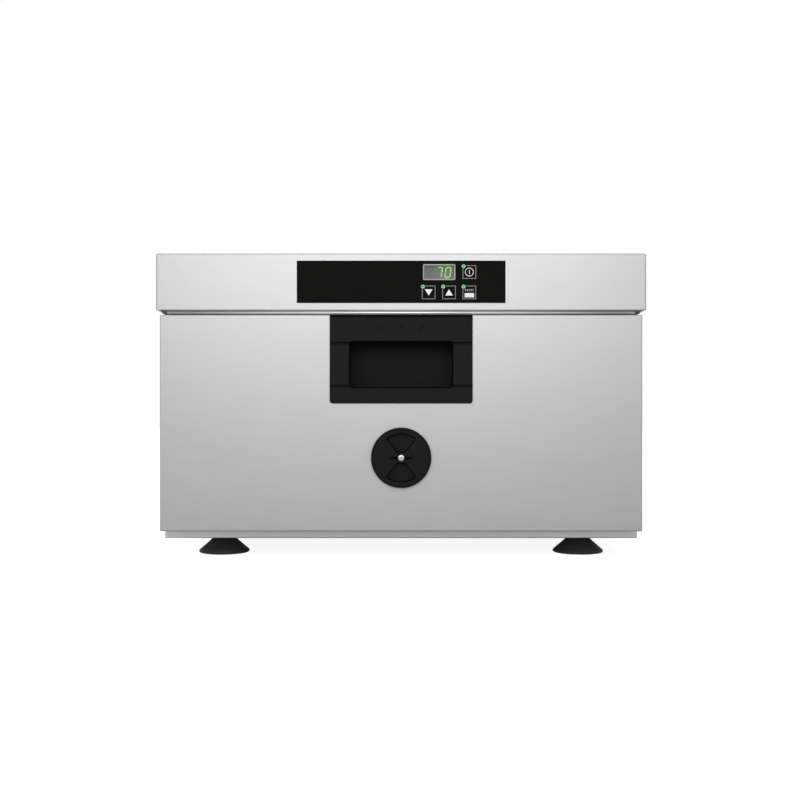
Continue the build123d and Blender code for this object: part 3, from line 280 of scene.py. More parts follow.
@dataclass(frozen=True)
class BrushedSheet(Toned):
    """Belt-brushed stainless sheet: long hairline scratches that stretch every highlight.

    The real scratches lie 0.1 mm apart. They are drawn about 0.8 mm apart, so that they show.
    """

    roughness: float
    scratch_mm: float = 0.8
    scratch_length_mm: float = 55.0
    scratch_depth_mm: float = 0.012
    bump_strength: float = 0.5
    roughness_reach: float = 0.04
    cloud_mm: float = 45.0
    cloud_share: float = 0.35
    sideways_from: float = 0.7

    def sockets(self, tree: Tree) -> dict:
        """Brush the sheet. The grain turns to run back along the faces that look sideways.

        Args:
            tree: The material's tree.

        Returns:
            The shader's sockets and what feeds them.
        """
        grains = [stretched_noise(tree, self.scratch_mm, self.scratch_length_mm, axis) for axis in Axis]
        parts = add_node(tree, "ShaderNodeSeparateXYZ", {0: coordinate(tree, "Normal")})
        sideways = arith(tree, "ABSOLUTE", parts.outputs["X"])
        grain = blend(tree, arith(tree, "GREATER_THAN", sideways, self.sideways_from), *grains)
        mixed = blend(tree, self.cloud_share, grain, even_noise(tree, self.cloud_mm))
        return {
            "Base Color": self.tone(tree, mixed),
            "Roughness": around(tree, mixed, self.roughness, self.roughness_reach),
            "Normal": bump(tree, grain, self.scratch_depth_mm, self.bump_strength),
            "Metallic": 1.0,
        }


@dataclass(frozen=True)
class PlainMetal(Toned):
    """Turned, rolled or zinc-coated metal with a soft even mottle."""

    roughness: float
    mottle_mm: float = 4.0
    roughness_reach: float = 0.05

    def sockets(self, tree: Tree) -> dict:
        """Mottle the metal."""
        mottle = even_noise(tree, self.mottle_mm)
        return {
            "Base Color": self.tone(tree, mottle),
            "Roughness": around(tree, mottle, self.roughness, self.roughness_reach),
            "Metallic": 1.0,
        }


@dataclass(frozen=True)
class Moulded(Toned):
    """Moulded plastic, rubber, board or lacquer: a fine grain that breaks up the highlight."""

    roughness: float
    grain_mm: float = 0.9
    grain_depth_mm: float = 0.02
    bump_strength: float = 0.35
    sheen: float = 0.0
    specular: float = 0.5
    cloud_mm: float = 30.0
    roughness_reach: float = 0.05

    def sockets(self, tree: Tree) -> dict:
        """Grain the moulding and cloud its colour."""
        grain = even_noise(tree, self.grain_mm)
        return {
            "Base Color": self.tone(tree, even_noise(tree, self.cloud_mm)),
            "Roughness": around(tree, grain, self.roughness, self.roughness_reach),
            "Normal": bump(tree, grain, self.grain_depth_mm, self.bump_strength),
            "Sheen Weight": self.sheen,
            "Specular IOR Level": self.specular,
        }


@dataclass(frozen=True)
class Lit(Toned):
    """A lit green bar or lens: it glows evenly, with a little cloud in its plastic."""

    strength: float
    cloud_mm: float = 2.0
    unlit_hex: str = "0a0a0a"
    roughness: float = 0.5

    def sockets(self, tree: Tree) -> dict:
        """Make the plastic glow."""
        return {
            "Emission Color": self.tone(tree, even_noise(tree, self.cloud_mm)),
            "Emission Strength": self.strength,
            "Base Color": linear(self.unlit_hex),
            "Roughness": self.roughness,
        }


@dataclass(frozen=True)
class ClearWindow(Finish):
    """Polished acrylic, thin enough to be seen straight through."""

    tint_hex: str = "f4f4f4"
    roughness: float = 0.07
    roughness_reach: float = 0.02
    smear_mm: float = 12.0
    bending: float = 1.49
    cover: float = 0.25

    def sockets(self, tree: Tree) -> dict:
        """Smear the clear acrylic a little."""
        smear = even_noise(tree, self.smear_mm)
        return {
            "Roughness": around(tree, smear, self.roughness, self.roughness_reach),
            "Base Color": linear(self.tint_hex),
            "Transmission Weight": 1.0,
            "IOR": self.bending,
            "Alpha": self.cover,
        }


FINISHES = {
    # Belt-brushed 304 sheet: pale grey, with hairlines that blur what it reflects.
    "brushed_steel": BrushedSheet("brushed_304_sheet", "b9b9b9", "c6c6c6", 0.46),
    # Painted light: a paler, finer-grained copy of the 304 sheet, for the base tray in the drawer's shade
    # and for the hem's rolled bead.
    "painted_light_steel": BrushedSheet("pale_304_painted_light", "dcdcdc", "e8e8e8", 0.42, 0.8, 20.0, 0.004),
    # Satin 304 pressings: smoother than the outer sheet, a shade warmer.
    "satin_steel": BrushedSheet("satin_304_pressing", "b4b3b0", "c9c8c5", 0.30, 0.6, 14.0, 0.006),
    # Hot-dip galvanised sheet: cloudy blue-grey crystals.
    "galvanised_steel": PlainMetal("galvanised_sheet", "8f959a", "b3b8bb", 0.45, 7.0),
    # Roll-formed slide steel: even, half bright.
    "slide_steel": PlainMetal("rolled_slide_steel", "a3a4a5", "b9babb", 0.32, 9.0),
    # Turned stainless fasteners: bright, almost mirror-smooth.
    "steel_fastener": PlainMetal("turned_stainless", "cfcfcd", "dededc", 0.22, 1.5),
    # Varnished transformer core: dark and slightly uneven.
    "transformer_iron": PlainMetal("varnished_core_iron", "2b2724", "4a4039", 0.5, 3.0),
    # Silicone cable sheath: dull brick red with a soft bloom.
    "silicone_red": Moulded("silicone_sheath", "6e1f14", "84281a", 0.55, 1.2, 0.01, 0.2, 0.1),
    # Mineral wool: felted yellow-brown fibres, quite matt.
    "mineral_wool": Moulded("mineral_wool", "8d7a45", "b7a467", 0.95, 1.6, 0.6, 0.9, 0.2),
    # Silicone gasket: dull dark grey, smooth.
    "silicone_grey": Moulded("silicone_gasket", "343434", "3d3d3d", 0.55, 1.2, 0.01, 0.2, 0.1),
    # Glass-fibre board under a green solder mask: glossy, with a faint weave.
    "circuit_board": Moulded("solder_masked_board", "0f3d22", "175030", 0.3, 0.8, 0.01, 0.3),
    # Glass-filled nylon with a fine spark-eroded grain: near black, matt.
    "black_plastic": Moulded("grained_black_nylon", "181818", "1d1d1d", 0.55, 0.8, 0.018, 0.3,
                             specular=0.08),
    # Natural nylon terminal strip: ivory, half matt.
    "white_plastic": Moulded("natural_nylon", "d8d5c9", "e4e1d6", 0.45),
    # Black switch housings: plain moulded.
    "switch_plastic": Moulded("switch_housing", "161616", "1f1f1f", 0.5),
    # Back-printed polyester overlay: flat black with a satin face.
    "panel_black": Moulded("printed_polyester_film", "121211", "151514", 0.5, 0.5, 0.004, 0.15,
                           specular=0.02),
    # Green light guide, lit from behind.
    "lamp_green": Lit("lit_light_guide", "2f8a57", "3a9a63", 0.75),
    # Silver-lacquered moulding round the display.
    "silver_trim": Moulded("silver_lacquer", "a2a2a2", "b0b0b0", 0.35, 0.5, 0.004, 0.15),
    # Clear acrylic window: it dulls what lies behind it only a little.
    "clear_window": ClearWindow("clear_acrylic"),
    # Grey filled resin round the digit bars.
    "display_grey": Moulded("display_resin", "5c5c5c", "686868", 0.6, 0.5, 0.004, 0.15),
    # Lit digit bars: bright yellow-green.
    "digit_green": Lit("lit_digit_bars", "7fd64a", "93e35c", 1.0),
    # Moulded black rubber: matt, with a faint bloom.
    "black_rubber": Moulded("black_rubber", "262626", "2d2d2d", 0.6, 1.0, 0.02, 0.3, 0.05),
    # Painted shade: near-black strips laid in the handle's grooves and recess mouth and round the vent's
    # windows and grip, where shade falls; nearly no light comes back out of them.
    "painted_shade_black": Moulded("near_black_painted_shade", "040404", "060606", 0.9, specular=0.0),
    # Painted shade of the hood along the handle's top: the same nylon, drawn darker.
    "painted_hood_shade_black": Moulded("black_nylon_painted_hood_shade", "0c0c0c", "101010", 0.7, specular=0.03),
    # Screen-printed white ink: clean and matt.
    "ink_white": Moulded("white_screen_ink", "efefef", "f8f8f8", 0.5, 0.4, 0.003, 0.1),
    # Screen-printed light grey ink: the white's quieter neighbour.
    "ink_grey": Moulded("grey_screen_ink", "8e8e8c", "999996", 0.5, 0.4, 0.003, 0.1),
    # Pale rim of a lit lamp.
    "lamp_rim": Lit("lit_lamp_rim", "8fdcae", "9ce6ba", 0.85),
}

# Painted light: nodes drawn paler than the rest of their slot, so the base tray shows bright in the
# drawer's shade.
PAINTED_LIGHT_NODES = {"base_tray": "painted_light_steel"}


class Paint:
    """Every finish's material, made once and shared."""

    def __init__(self) -> None:
        """Start with no material made."""
        self.made: dict[str, bpy.types.Material] = {}

    def get(self, name: str) -> bpy.types.Material:
        """Find one finish's material, and build it on first use.

        Args:
            name: The finish's name.

        Returns:
            Its material.
        """
        if name not in self.made:
            self.made[name] = FINISHES[name].material()
        return self.made[name]


def slot_of(node: str) -> str:
    """The record's material slot of a node."""
    slots = {row["node"]: row["material_slot"] for row in frame["record"]["subparts"]}
    return slots[node]


def dress_frame(paint: Paint) -> None:
    """Give every node of the frame the finish of its slot, or its paler copy that paints light.

    Args:
        paint: The shared materials.
    """
    for name, node in frame["nodes"].items():
        material = paint.get(PAINTED_LIGHT_NODES.get(name, slot_of(name)))
        if not node.material_slots:
            node.data.materials.append(material)
        for slot in node.material_slots:
            slot.link = "OBJECT"
            slot.material = material
        LOG.info("dressed %s", name)


# --- Mesh helpers ---
def put(name: str, data: bpy.types.ID) -> bpy.types.Object:
    """Make an object and link it to the scene.

    Args:
        name: The object's name.
        data: Its mesh, light or camera.

    Returns:
        The new object.
    """
    thing = bpy.data.objects.new(name, data)
    bpy.context.scene.collection.objects.link(thing)
    return thing


def finished_piece(
    name: str,
    mesh: bpy.types.Mesh,
    body: str,
    material: bpy.types.Material | None = None,
    replaced: Sequence[str] = (),
) -> None:
    """Args:
        name: The piece's name.
        mesh: Its mesh, already in place.
        body: The body that it moves with.
        material: The material to put on it, where the mesh has none yet.
        replaced: The frame's nodes that it stands for.
    """
    piece = put(name, mesh)
    if material is not None:
        mesh.materials.append(material)
    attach(piece, body)
    if replaced:
        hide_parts(*replaced)
    LOG.info("built %s on %s", name, body)


def mesh_from(name: str, draw: Draw) -> bpy.types.Mesh:
    """Run a builder on an empty bmesh and return the mesh with its normals outward.

    Args:
        name: The mesh's name.
        draw: A function that fills the bmesh.

    Returns:
        The finished mesh.
    """
    work = bmesh.new()
    draw(work)
    bmesh.ops.remove_doubles(work, verts=work.verts, dist=MERGE_DISTANCE)
    bmesh.ops.recalc_face_normals(work, faces=work.faces)
    mesh = bpy.data.meshes.new(name)
    work.to_mesh(mesh)
    work.free()
    return mesh


def close_prism(work: bmesh.types.BMesh, near: list, far: list) -> None:
    """Add the two ends and the sides between two loops of corners.

    Args:
        work: The bmesh that takes them.
        near: The corners of one end in order.
        far: The corners of the other end in the same order.
    """
    work.faces.new(near)
    work.faces.new(list(reversed(far)))
    for index in range(len(near)):
        after = (index + 1) % len(near)
        work.faces.new((near[index], near[after], far[after], far[index]))


def thick_outline(work: bmesh.types.BMesh, outline: Outline, front: float, back: float) -> None:
    """Add a closed solid: an outline in X and Z between two depths.

    Args:
        work: The bmesh that takes it.
        outline: Its corners in order.
        front: The Y of its front face.
        back: The Y of its back face.
    """
    near = [work.verts.new((x, front, z)) for x, z in outline]
    far = [work.verts.new((x, back, z)) for x, z in outline]
    close_prism(work, near, far)


def thick_ring(
    work: bmesh.types.BMesh, outer: Outline, inner: Outline, front: float, back: float
) -> None:
    """Add a closed frame between two outlines that have as many corners each.

    Args:
        work: The bmesh that takes it.
        outer: The outer outline's corners in order.
        inner: The inner outline's corners in the same order.
        front: The Y of its front face.
        back: The Y of its back face.
    """
    loops = []
    for outline, depth in ((outer, front), (inner, front), (inner, back), (outer, back)):
        loops.append([work.verts.new((x, depth, z)) for x, z in outline])
    for here, there in zip(loops, loops[1:] + loops[:1]):
        for index in range(len(outer)):
            after = (index + 1) % len(outer)
            work.faces.new((here[index], here[after], there[after], there[index]))


def circle(x: float, z: float, radius: float, count: int = 48) -> list[Point]:
    """Points round a circle."""
    turns = [2 * math.pi * index / count for index in range(count)]
    return [(x + radius * math.cos(turn), z + radius * math.sin(turn)) for turn in turns]


def rectangle(left: float, right: float, bottom: float, top: float) -> list[Point]:
    """The corners of a rectangle."""
    return [(left, bottom), (right, bottom), (right, top), (left, top)]


def rounded_outline(
    left: float, right: float, bottom: float, top: float, radius: float, count: int = 8
) -> list[Point]:
    """Points round a rectangle with round corners.

    Args:
        left: Its least X.
        right: Its greatest X.
        bottom: Its least Z.
        top: Its greatest Z.
        radius: The corners' radius.
        count: The steps in each corner.

    Returns:
        The points in order, from the right side's upper end on.
    """
    points = []
    corners = ((right, top, 0.0), (left, top, 0.5), (left, bottom, 1.0), (right, bottom, 1.5))
    for x, z, start in corners:
        center_x = x - math.copysign(radius, x - (left + right) / 2)
        center_z = z - math.copysign(radius, z - (bottom + top) / 2)
        for step in range(count + 1):
            turn = math.pi * (start + 0.5 * step / count)
            points.append((center_x + radius * math.cos(turn), center_z + radius * math.sin(turn)))
    return points


def islands(node: str) -> list[tuple[Vector, Vector]]:
    """The box of each separate solid in a node, from a merged copy of its mesh.

    Args:
        node: The frame's node.

    Returns:
        A low and a high corner for every solid.
    """
    work = bmesh.new()
    work.from_mesh(frame["nodes"][node].data)
    bmesh.ops.remove_doubles(work, verts=work.verts, dist=MERGE_DISTANCE)
    waiting = set(work.verts)
    boxes = []
    while waiting:
        reached = [waiting.pop()]
        points = []
        while reached:
            vert = reached.pop()
            points.append(vert.co.copy())
            for edge in vert.link_edges:
                other = edge.other_vert(vert)
                if other in waiting:
                    waiting.remove(other)
                    reached.append(other)
        low = Vector([min(point[axis] for point in points) for axis in range(3)])
        high = Vector([max(point[axis] for point in points) for axis in range(3)])
        boxes.append((low, high))
    work.free()
    return sorted(boxes, key=lambda box: tuple(round(value, 5) for value in box[0]))


def middle(node: str) -> Vector:
    """The middle of a node's box."""
    low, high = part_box(node)
    return (Vector(low) + Vector(high)) / 2


# --- Geometry Nodes ---
class NodeShape:
    """A Geometry Nodes tree with named sizes, run once and kept as a plain mesh."""

    def __init__(self, name: str, sizes: dict[str, float], material: bpy.types.Material) -> None:
        """Start the tree.

        Args:
            name: The tree's name, and its mesh's.
            sizes: Named inputs and the values that they get.
            material: What Set Material puts on the result.
        """
        self.name = name
        self.sizes = sizes
        self.material = material
        self.tree = bpy.data.node_groups.new(name, "GeometryNodeTree")
        interface = self.tree.interface
        interface.new_socket("Geometry", in_out="INPUT", socket_type="NodeSocketGeometry")
        self.identifiers = {}
        for size in sizes:
            socket = interface.new_socket(size, in_out="INPUT", socket_type="NodeSocketFloat")
            self.identifiers[size] = socket.identifier
        interface.new_socket("Geometry", in_out="OUTPUT", socket_type="NodeSocketGeometry")
        self.inputs = self.add("NodeGroupInput")

    def add(self, kind: str, links: dict | None = None, **settings) -> bpy.types.Node:
        """Add a node to this tree."""
        return add_node(self.tree, kind, links, **settings)

    def size(self, name: str) -> Socket:
        """The socket that carries a named size."""
        return self.inputs.outputs[name]

    def vector(self, x: object, y: object, z: object) -> Socket:
        """Three sockets or numbers as one vector."""
        return self.add("ShaderNodeCombineXYZ", {"X": x, "Y": y, "Z": z}).outputs[0]

    def run(self, shape: Socket, places: Sequence[Vector]) -> bpy.types.Mesh:
        """Put the shape on every place, close the tree, run it and return the plain mesh.

        Args:
            shape: The geometry that is repeated.
            places: Where it stands.

        Returns:
            One mesh with every copy in it.
        """
        copies = self.add("GeometryNodeInstanceOnPoints", {
            "Points": self.inputs.outputs["Geometry"], "Instance": shape,
        })
        real = self.add("GeometryNodeRealizeInstances", {"Geometry": copies.outputs[0]})
        flat = self.add("GeometryNodeSetShadeSmooth", {"Geometry": real.outputs[0], "Shade Smooth": False})
        painted = self.add("GeometryNodeSetMaterial", {
            "Geometry": flat.outputs[0], "Material": self.material,
        })
        self.add("NodeGroupOutput", {"Geometry": painted.outputs[0]})
        points = bpy.data.meshes.new(self.name + "_places")
        points.from_pydata([tuple(place) for place in places], [], [])
        holder = put(self.name + "_holder", points)
        modifier = holder.modifiers.new("shape", "NODES")
        modifier.node_group = self.tree
        for size, value in self.sizes.items():
            modifier[self.identifiers[size]] = value
        graph = bpy.context.evaluated_depsgraph_get()
        mesh = bpy.data.meshes.new_from_object(holder.evaluated_get(graph))
        mesh.name = self.name
        holder.modifiers.remove(modifier)
        bpy.data.objects.remove(holder)
        return mesh


# --- The printed control panel ---
@dataclass
class ControlPanel:
    """Marks printed on the keys, and the rims of the lit lamps."""

    paint: Paint
    ink_mm: float = 0.05
    line_mm: float = 0.5
    lamp_room_mm: float = 2.9
    ring_mm: float = 7.5
    bar_share: float = 0.48
    triangle_mm: float = 6.7
    triangle_height_mm: float = 5.4
    block_width_mm: float = 8.1
    block_height_mm: float = 3.7
    block_drop_mm: float = 0.6
    dashes: int = 5
    dash_lead: float = 0.15
    dash_share: float = 0.6
    dash_low_mm: float = 1.1
    dash_high_mm: float = 2.9
    lamp_radius_mm: float = 1.6
    rim_tube_mm: float = 0.42
    rim_flatness: float = 0.35
    rim_sides: int = 32
    tube_sides: int = 8

    def build(self) -> None:
        """Print every key and put a rim on every lamp."""
        for key in KEYS:
            self.outline(key)
        self.power_mark()
        self.arrow("key_down", -1)
        self.arrow("key_up", 1)
        self.start_stop_mark()
        self.lamp_rims()

    def print_on(
        self, name: str, key: str, ink: str, outlines: Sequence[Outline], ring: Sequence[Outline] = ()
    ) -> None:
        """Print one mark that moves with its key.

        Args:
            name: The mark's name.
            key: The key that carries it.
            ink: Its finish.
            outlines: The solid forms in it.
            ring: The outer and inner outline of a ring in it, if it has one.
        """
        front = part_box(key)[0][1]
        near = front - self.ink_mm * MM

        def draw(work: bmesh.types.BMesh) -> None:
            """The ring and every form, as thick as the ink."""
            if ring:
                thick_ring(work, ring[0], ring[1], near, front)
            for outline in outlines:
                thick_outline(work, outline, near, front)

        finished_piece(name, mesh_from(name, draw), key, self.paint.get(ink))

    def outline(self, key: str) -> None:
        """The thin grey square round a key's edge, open where the lamp stands.

        Args:
            key: The key.
        """
        low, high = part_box(key)
        line = self.line_mm * MM
        room = self.lamp_room_mm * MM
        left, right, bottom, top = low[0], high[0], low[2], high[2]
        self.print_on(key + "_outline", key, "ink_grey", (
            rectangle(left, left + line, bottom, top - room),
            rectangle(right - line, right, bottom, top),
            rectangle(left + line, right - line, bottom, bottom + line),
            rectangle(left + room, right - line, top - line, top),
        ))

    def power_mark(self) -> None:
        """A ring round an upright bar."""
        key = "key_power"
        spot = middle(key)
        radius = self.ring_mm / 2 * MM
        line = self.line_mm * MM
        half = line / 2
        reach = radius * self.bar_share
        bar = rectangle(spot.x - half, spot.x + half, spot.z - reach, spot.z + reach)
        ring = (circle(spot.x, spot.z, radius), circle(spot.x, spot.z, radius - line))
        self.print_on("power_mark", key, "ink_white", (bar,), ring)

    def arrow(self, key: str, way: int) -> None:
        """A solid triangle.

        Args:
            key: The key that carries it.
            way: 1 where it points up and -1 where it points down.
        """
        spot = middle(key)
        half = self.triangle_mm / 2 * MM
        rise = way * self.triangle_height_mm / 2 * MM
        corners = [(spot.x - half, spot.z - rise), (spot.x + half, spot.z - rise), (spot.x, spot.z + rise)]
        self.print_on(key + "_arrow", key, "ink_white", (corners,))

    def start_stop_mark(self) -> None:
        """A row of short bars over a white block."""
        key = "key_start_stop"
        spot = middle(key)
        half = self.block_width_mm / 2 * MM
        top = spot.z - self.block_drop_mm * MM
        block = rectangle(spot.x - half, spot.x + half, top - self.block_height_mm * MM, top)
        self.print_on("stop_block", key, "ink_white", (block,))
        pitch = 2 * half / self.dashes
        lefts = [spot.x - half + (index + self.dash_lead) * pitch for index in range(self.dashes)]
        low = spot.z + self.dash_low_mm * MM
        high = spot.z + self.dash_high_mm * MM
        bars = [rectangle(left, left + self.dash_share * pitch, low, high) for left in lefts]
        self.print_on("start_bars", key, "ink_grey", bars)

    def lamp_rims(self) -> None:
        """A pale glowing rim on each lamp, made once and repeated."""
        keys = [middle(key) for key in KEYS]
        low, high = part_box("key_lamps")
        radius = self.lamp_radius_mm * MM
        aside = low[0] + radius - middle("key_down").x
        above = high[2] - radius - middle("key_power").z
        places = [Vector((spot.x + aside, low[1], spot.z + above)) for spot in keys]
        shape = NodeShape("lamp_rims", {
            "Radius": radius, "Tube": self.rim_tube_mm * MM,
        }, self.paint.get("lamp_rim"))
        path = shape.add("GeometryNodeCurvePrimitiveCircle", {
            "Resolution": self.rim_sides,
            "Radius": arith(shape.tree, "SUBTRACT", shape.size("Radius"), shape.size("Tube")),
        })
        section = shape.add("GeometryNodeCurvePrimitiveCircle", {
            "Resolution": self.tube_sides, "Radius": shape.size("Tube"),
        })
        tube = shape.add("GeometryNodeCurveToMesh", {
            "Curve": path.outputs[0], "Profile Curve": section.outputs[0],
        })
        stood = shape.add("GeometryNodeTransform", {
            "Geometry": tube.outputs[0],
            "Rotation": (math.pi / 2, 0, 0),
            "Scale": (1, 1, self.rim_flatness),
        })
        finished_piece("lamp_rims", shape.run(stood.outputs[0], places), "cabinet")


# --- Handle and vent ---
@dataclass
class HandleTrim:
    """The painted shade on the moulded handle: dark strips in its joints, round the recess's lip and along
    its top.
    """

    paint: Paint
    recess_width_mm: float = 90.0
    recess_height_mm: float = 41.0
    recess_rise_mm: float = 13.0
    recess_corner_mm: float = 2.6
    groove_inset_mm: float = 1.0
    groove_width_mm: float = 2.0
    groove_depth_mm: float = 0.5
    seam_shade_mm: float = 0.55
    seam_shade_sink_mm: float = 0.05
    lip_mm: float = 1.0
    lip_top_shade_mm: float = 2.2
    lip_gap_mm: float = 0.02
    lip_sink_mm: float = 0.4
    lip_depth_mm: float = 1.6
    inner_corner_share: float = 0.7
    strip_mm: float = 2.4
    strip_inset_mm: float = 0.05
    strip_gap_mm: float = 0.02
    strip_proud_mm: float = 0.04
    strip_depth_mm: float = 1.9

    def build(self) -> None:
        """Add the painted shade: the seam strips, the lip ring and the top strip."""
        self.seam_shades()
        self.lip_shade()
        self.top_shade_strip()

    def seam_shades(self) -> None:
        """Two thin dark strips along the edges of each groove beside the recess: painted shade in the
        insert's joints.
        """
        low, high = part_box("handle")
        half = self.recess_width_mm / 2 * MM
        recess_low = low[2] + self.recess_rise_mm * MM
        recess_high = recess_low + self.recess_height_mm * MM
        inset = self.groove_inset_mm * MM
        width = self.groove_width_mm * MM
        seam = self.seam_shade_mm * MM
        near = low[1] + self.seam_shade_sink_mm * MM
        far = low[1] + self.groove_depth_mm * MM

        def draw(work: bmesh.types.BMesh) -> None:
            """Both shade strips of both grooves, on both sides."""
            for bottom in (recess_low + inset, recess_high - inset - width):
                for left, right in ((low[0], -half), (half, high[0])):
                    for edge in (bottom, bottom + width - seam):
                        thick_outline(work, rectangle(left, right, edge, edge + seam), near, far)

        self.finish("handle_seams", draw, "painted_shade_black")

    def lip_shade(self) -> None:
        """A black ring of painted shade round the finger recess's mouth, thicker along its top where the
        shade falls.
        """
        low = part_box("handle")[0]
        gap = self.lip_gap_mm * MM
        half = self.recess_width_mm / 2 * MM - gap
        bottom = low[2] + self.recess_rise_mm * MM + gap
        top = bottom + self.recess_height_mm * MM - 2 * gap
        side = self.lip_mm * MM
        corner = self.recess_corner_mm * MM
        outer = rounded_outline(-half, half, bottom, top, corner)
        inner = rounded_outline(side - half, half - side, bottom + side, top - self.lip_top_shade_mm * MM,
                                corner * self.inner_corner_share)
        near = low[1] + self.lip_sink_mm * MM

        def draw(work: bmesh.types.BMesh) -> None:
            """The ring of painted shade."""
            thick_ring(work, outer, inner, near, near + self.lip_depth_mm * MM)

        self.finish("recess_lip", draw, "painted_shade_black")

    def top_shade_strip(self) -> None:
        """The square-ended dark strip along the handle's top: painted shade from the hood."""
        low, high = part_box("handle")
        near = low[1] - self.strip_proud_mm * MM
        inset = self.strip_inset_mm * MM
        outline = rectangle(low[0] + inset, high[0] - inset, high[2] - self.strip_mm * MM,
                            high[2] - self.strip_gap_mm * MM)

        def draw(work: bmesh.types.BMesh) -> None:
            """The strip."""
            thick_outline(work, outline, near, near + self.strip_depth_mm * MM)

        self.finish("handle_top_strip", draw, "painted_hood_shade_black")

    def finish(self, name: str, draw: Draw, black: str) -> None:
        """Draw one detail in its black and let it ride on the drawer."""
        finished_piece(name, mesh_from(name, draw), "drawer", self.paint.get(black))


@dataclass
class VentTrim:
    """Painted shade on the turning vent: dark strips round both windows and round the grip."""

    paint: Paint
    inner_radius_mm: float = 4.4
    outer_radius_mm: float = 21.2
    half_angle: float = 39.0
    line_mm: float = 0.65
    shade_sink_mm: float = 0.05
    shade_depth_mm: float = 1.6
    grip_length_mm: float = 21.0
    grip_height_mm: float = 2.6
    grip_proud_mm: float = 1.2
    grip_well_mm: float = 6.7
    foot_proud_mm: float = 0.12
    crest_proud_mm: float = 0.03
    arc_steps: int = 20

    def sector(self, spot: Vector, base: float, inset: float) -> list[Point]:
        """A window's outline.

        Args:
            spot: The disc's middle.
            base: The way from there to the window's middle, as an angle.
            inset: How far the outline moves inwards.

        Returns:
            Its points in order: the outer arc, then the inner arc back.
        """
        outer = self.outer_radius_mm * MM - inset
        inner = self.inner_radius_mm * MM + inset
        half = math.radians(self.half_angle)
        points = []
        for radius, way in ((outer, 1), (inner, -1)):
            reach = half - math.asin(inset / radius)
            for step in range(self.arc_steps + 1):
                turn = base + way * reach * (2 * step / self.arc_steps - 1)
                points.append((spot.x + radius * math.cos(turn), spot.z + radius * math.sin(turn)))
        return points

    def build(self) -> None:
        """Put painted shade round both windows and the grip."""
        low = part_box("vent_disc")[0]
        spot = middle("vent_disc")
        face = low[1] + self.grip_proud_mm * MM
        line = self.line_mm * MM

        def draw_windows(work: bmesh.types.BMesh) -> None:
            """A strip of painted shade just inside each window's edge, where the disc meets its backing.
            """
            for base in (math.pi / 2, -math.pi / 2):
                thick_ring(work, self.sector(spot, base, 0.0), self.sector(spot, base, line),
                           face + self.shade_sink_mm * MM, face + self.shade_depth_mm * MM)

        def draw_grip(work: bmesh.types.BMesh) -> None:
            """Painted shade: a dark foot under the grip, from the pin's well outward, and a dark crest on
            the grip.
            """
            half = self.grip_length_mm / 2 * MM
            lift = self.grip_height_mm / 2 * MM
            well = self.grip_well_mm / 2 * MM
            for reach, rise, near, far in (
                (half + line, lift + line, face - self.foot_proud_mm * MM, face),
                (half, lift, low[1] - self.crest_proud_mm * MM, low[1]),
            ):
                rise_here = rise * (1 - well / reach)
                for side in (-1, 1):
                    root = spot.x + side * well
                    corners = [(spot.x + side * reach, spot.z), (root, spot.z + rise_here),
                               (root, spot.z - rise_here)]
                    thick_outline(work, corners, near, far)

        # Painted shade: the near-black strips round the windows and the grip.
        seam = self.paint.get("painted_shade_black")
        for name, draw in (("vent_window_joints", draw_windows), ("vent_grip_joint", draw_grip)):
            finished_piece(name, mesh_from(name, draw), "vent_disc", seam)


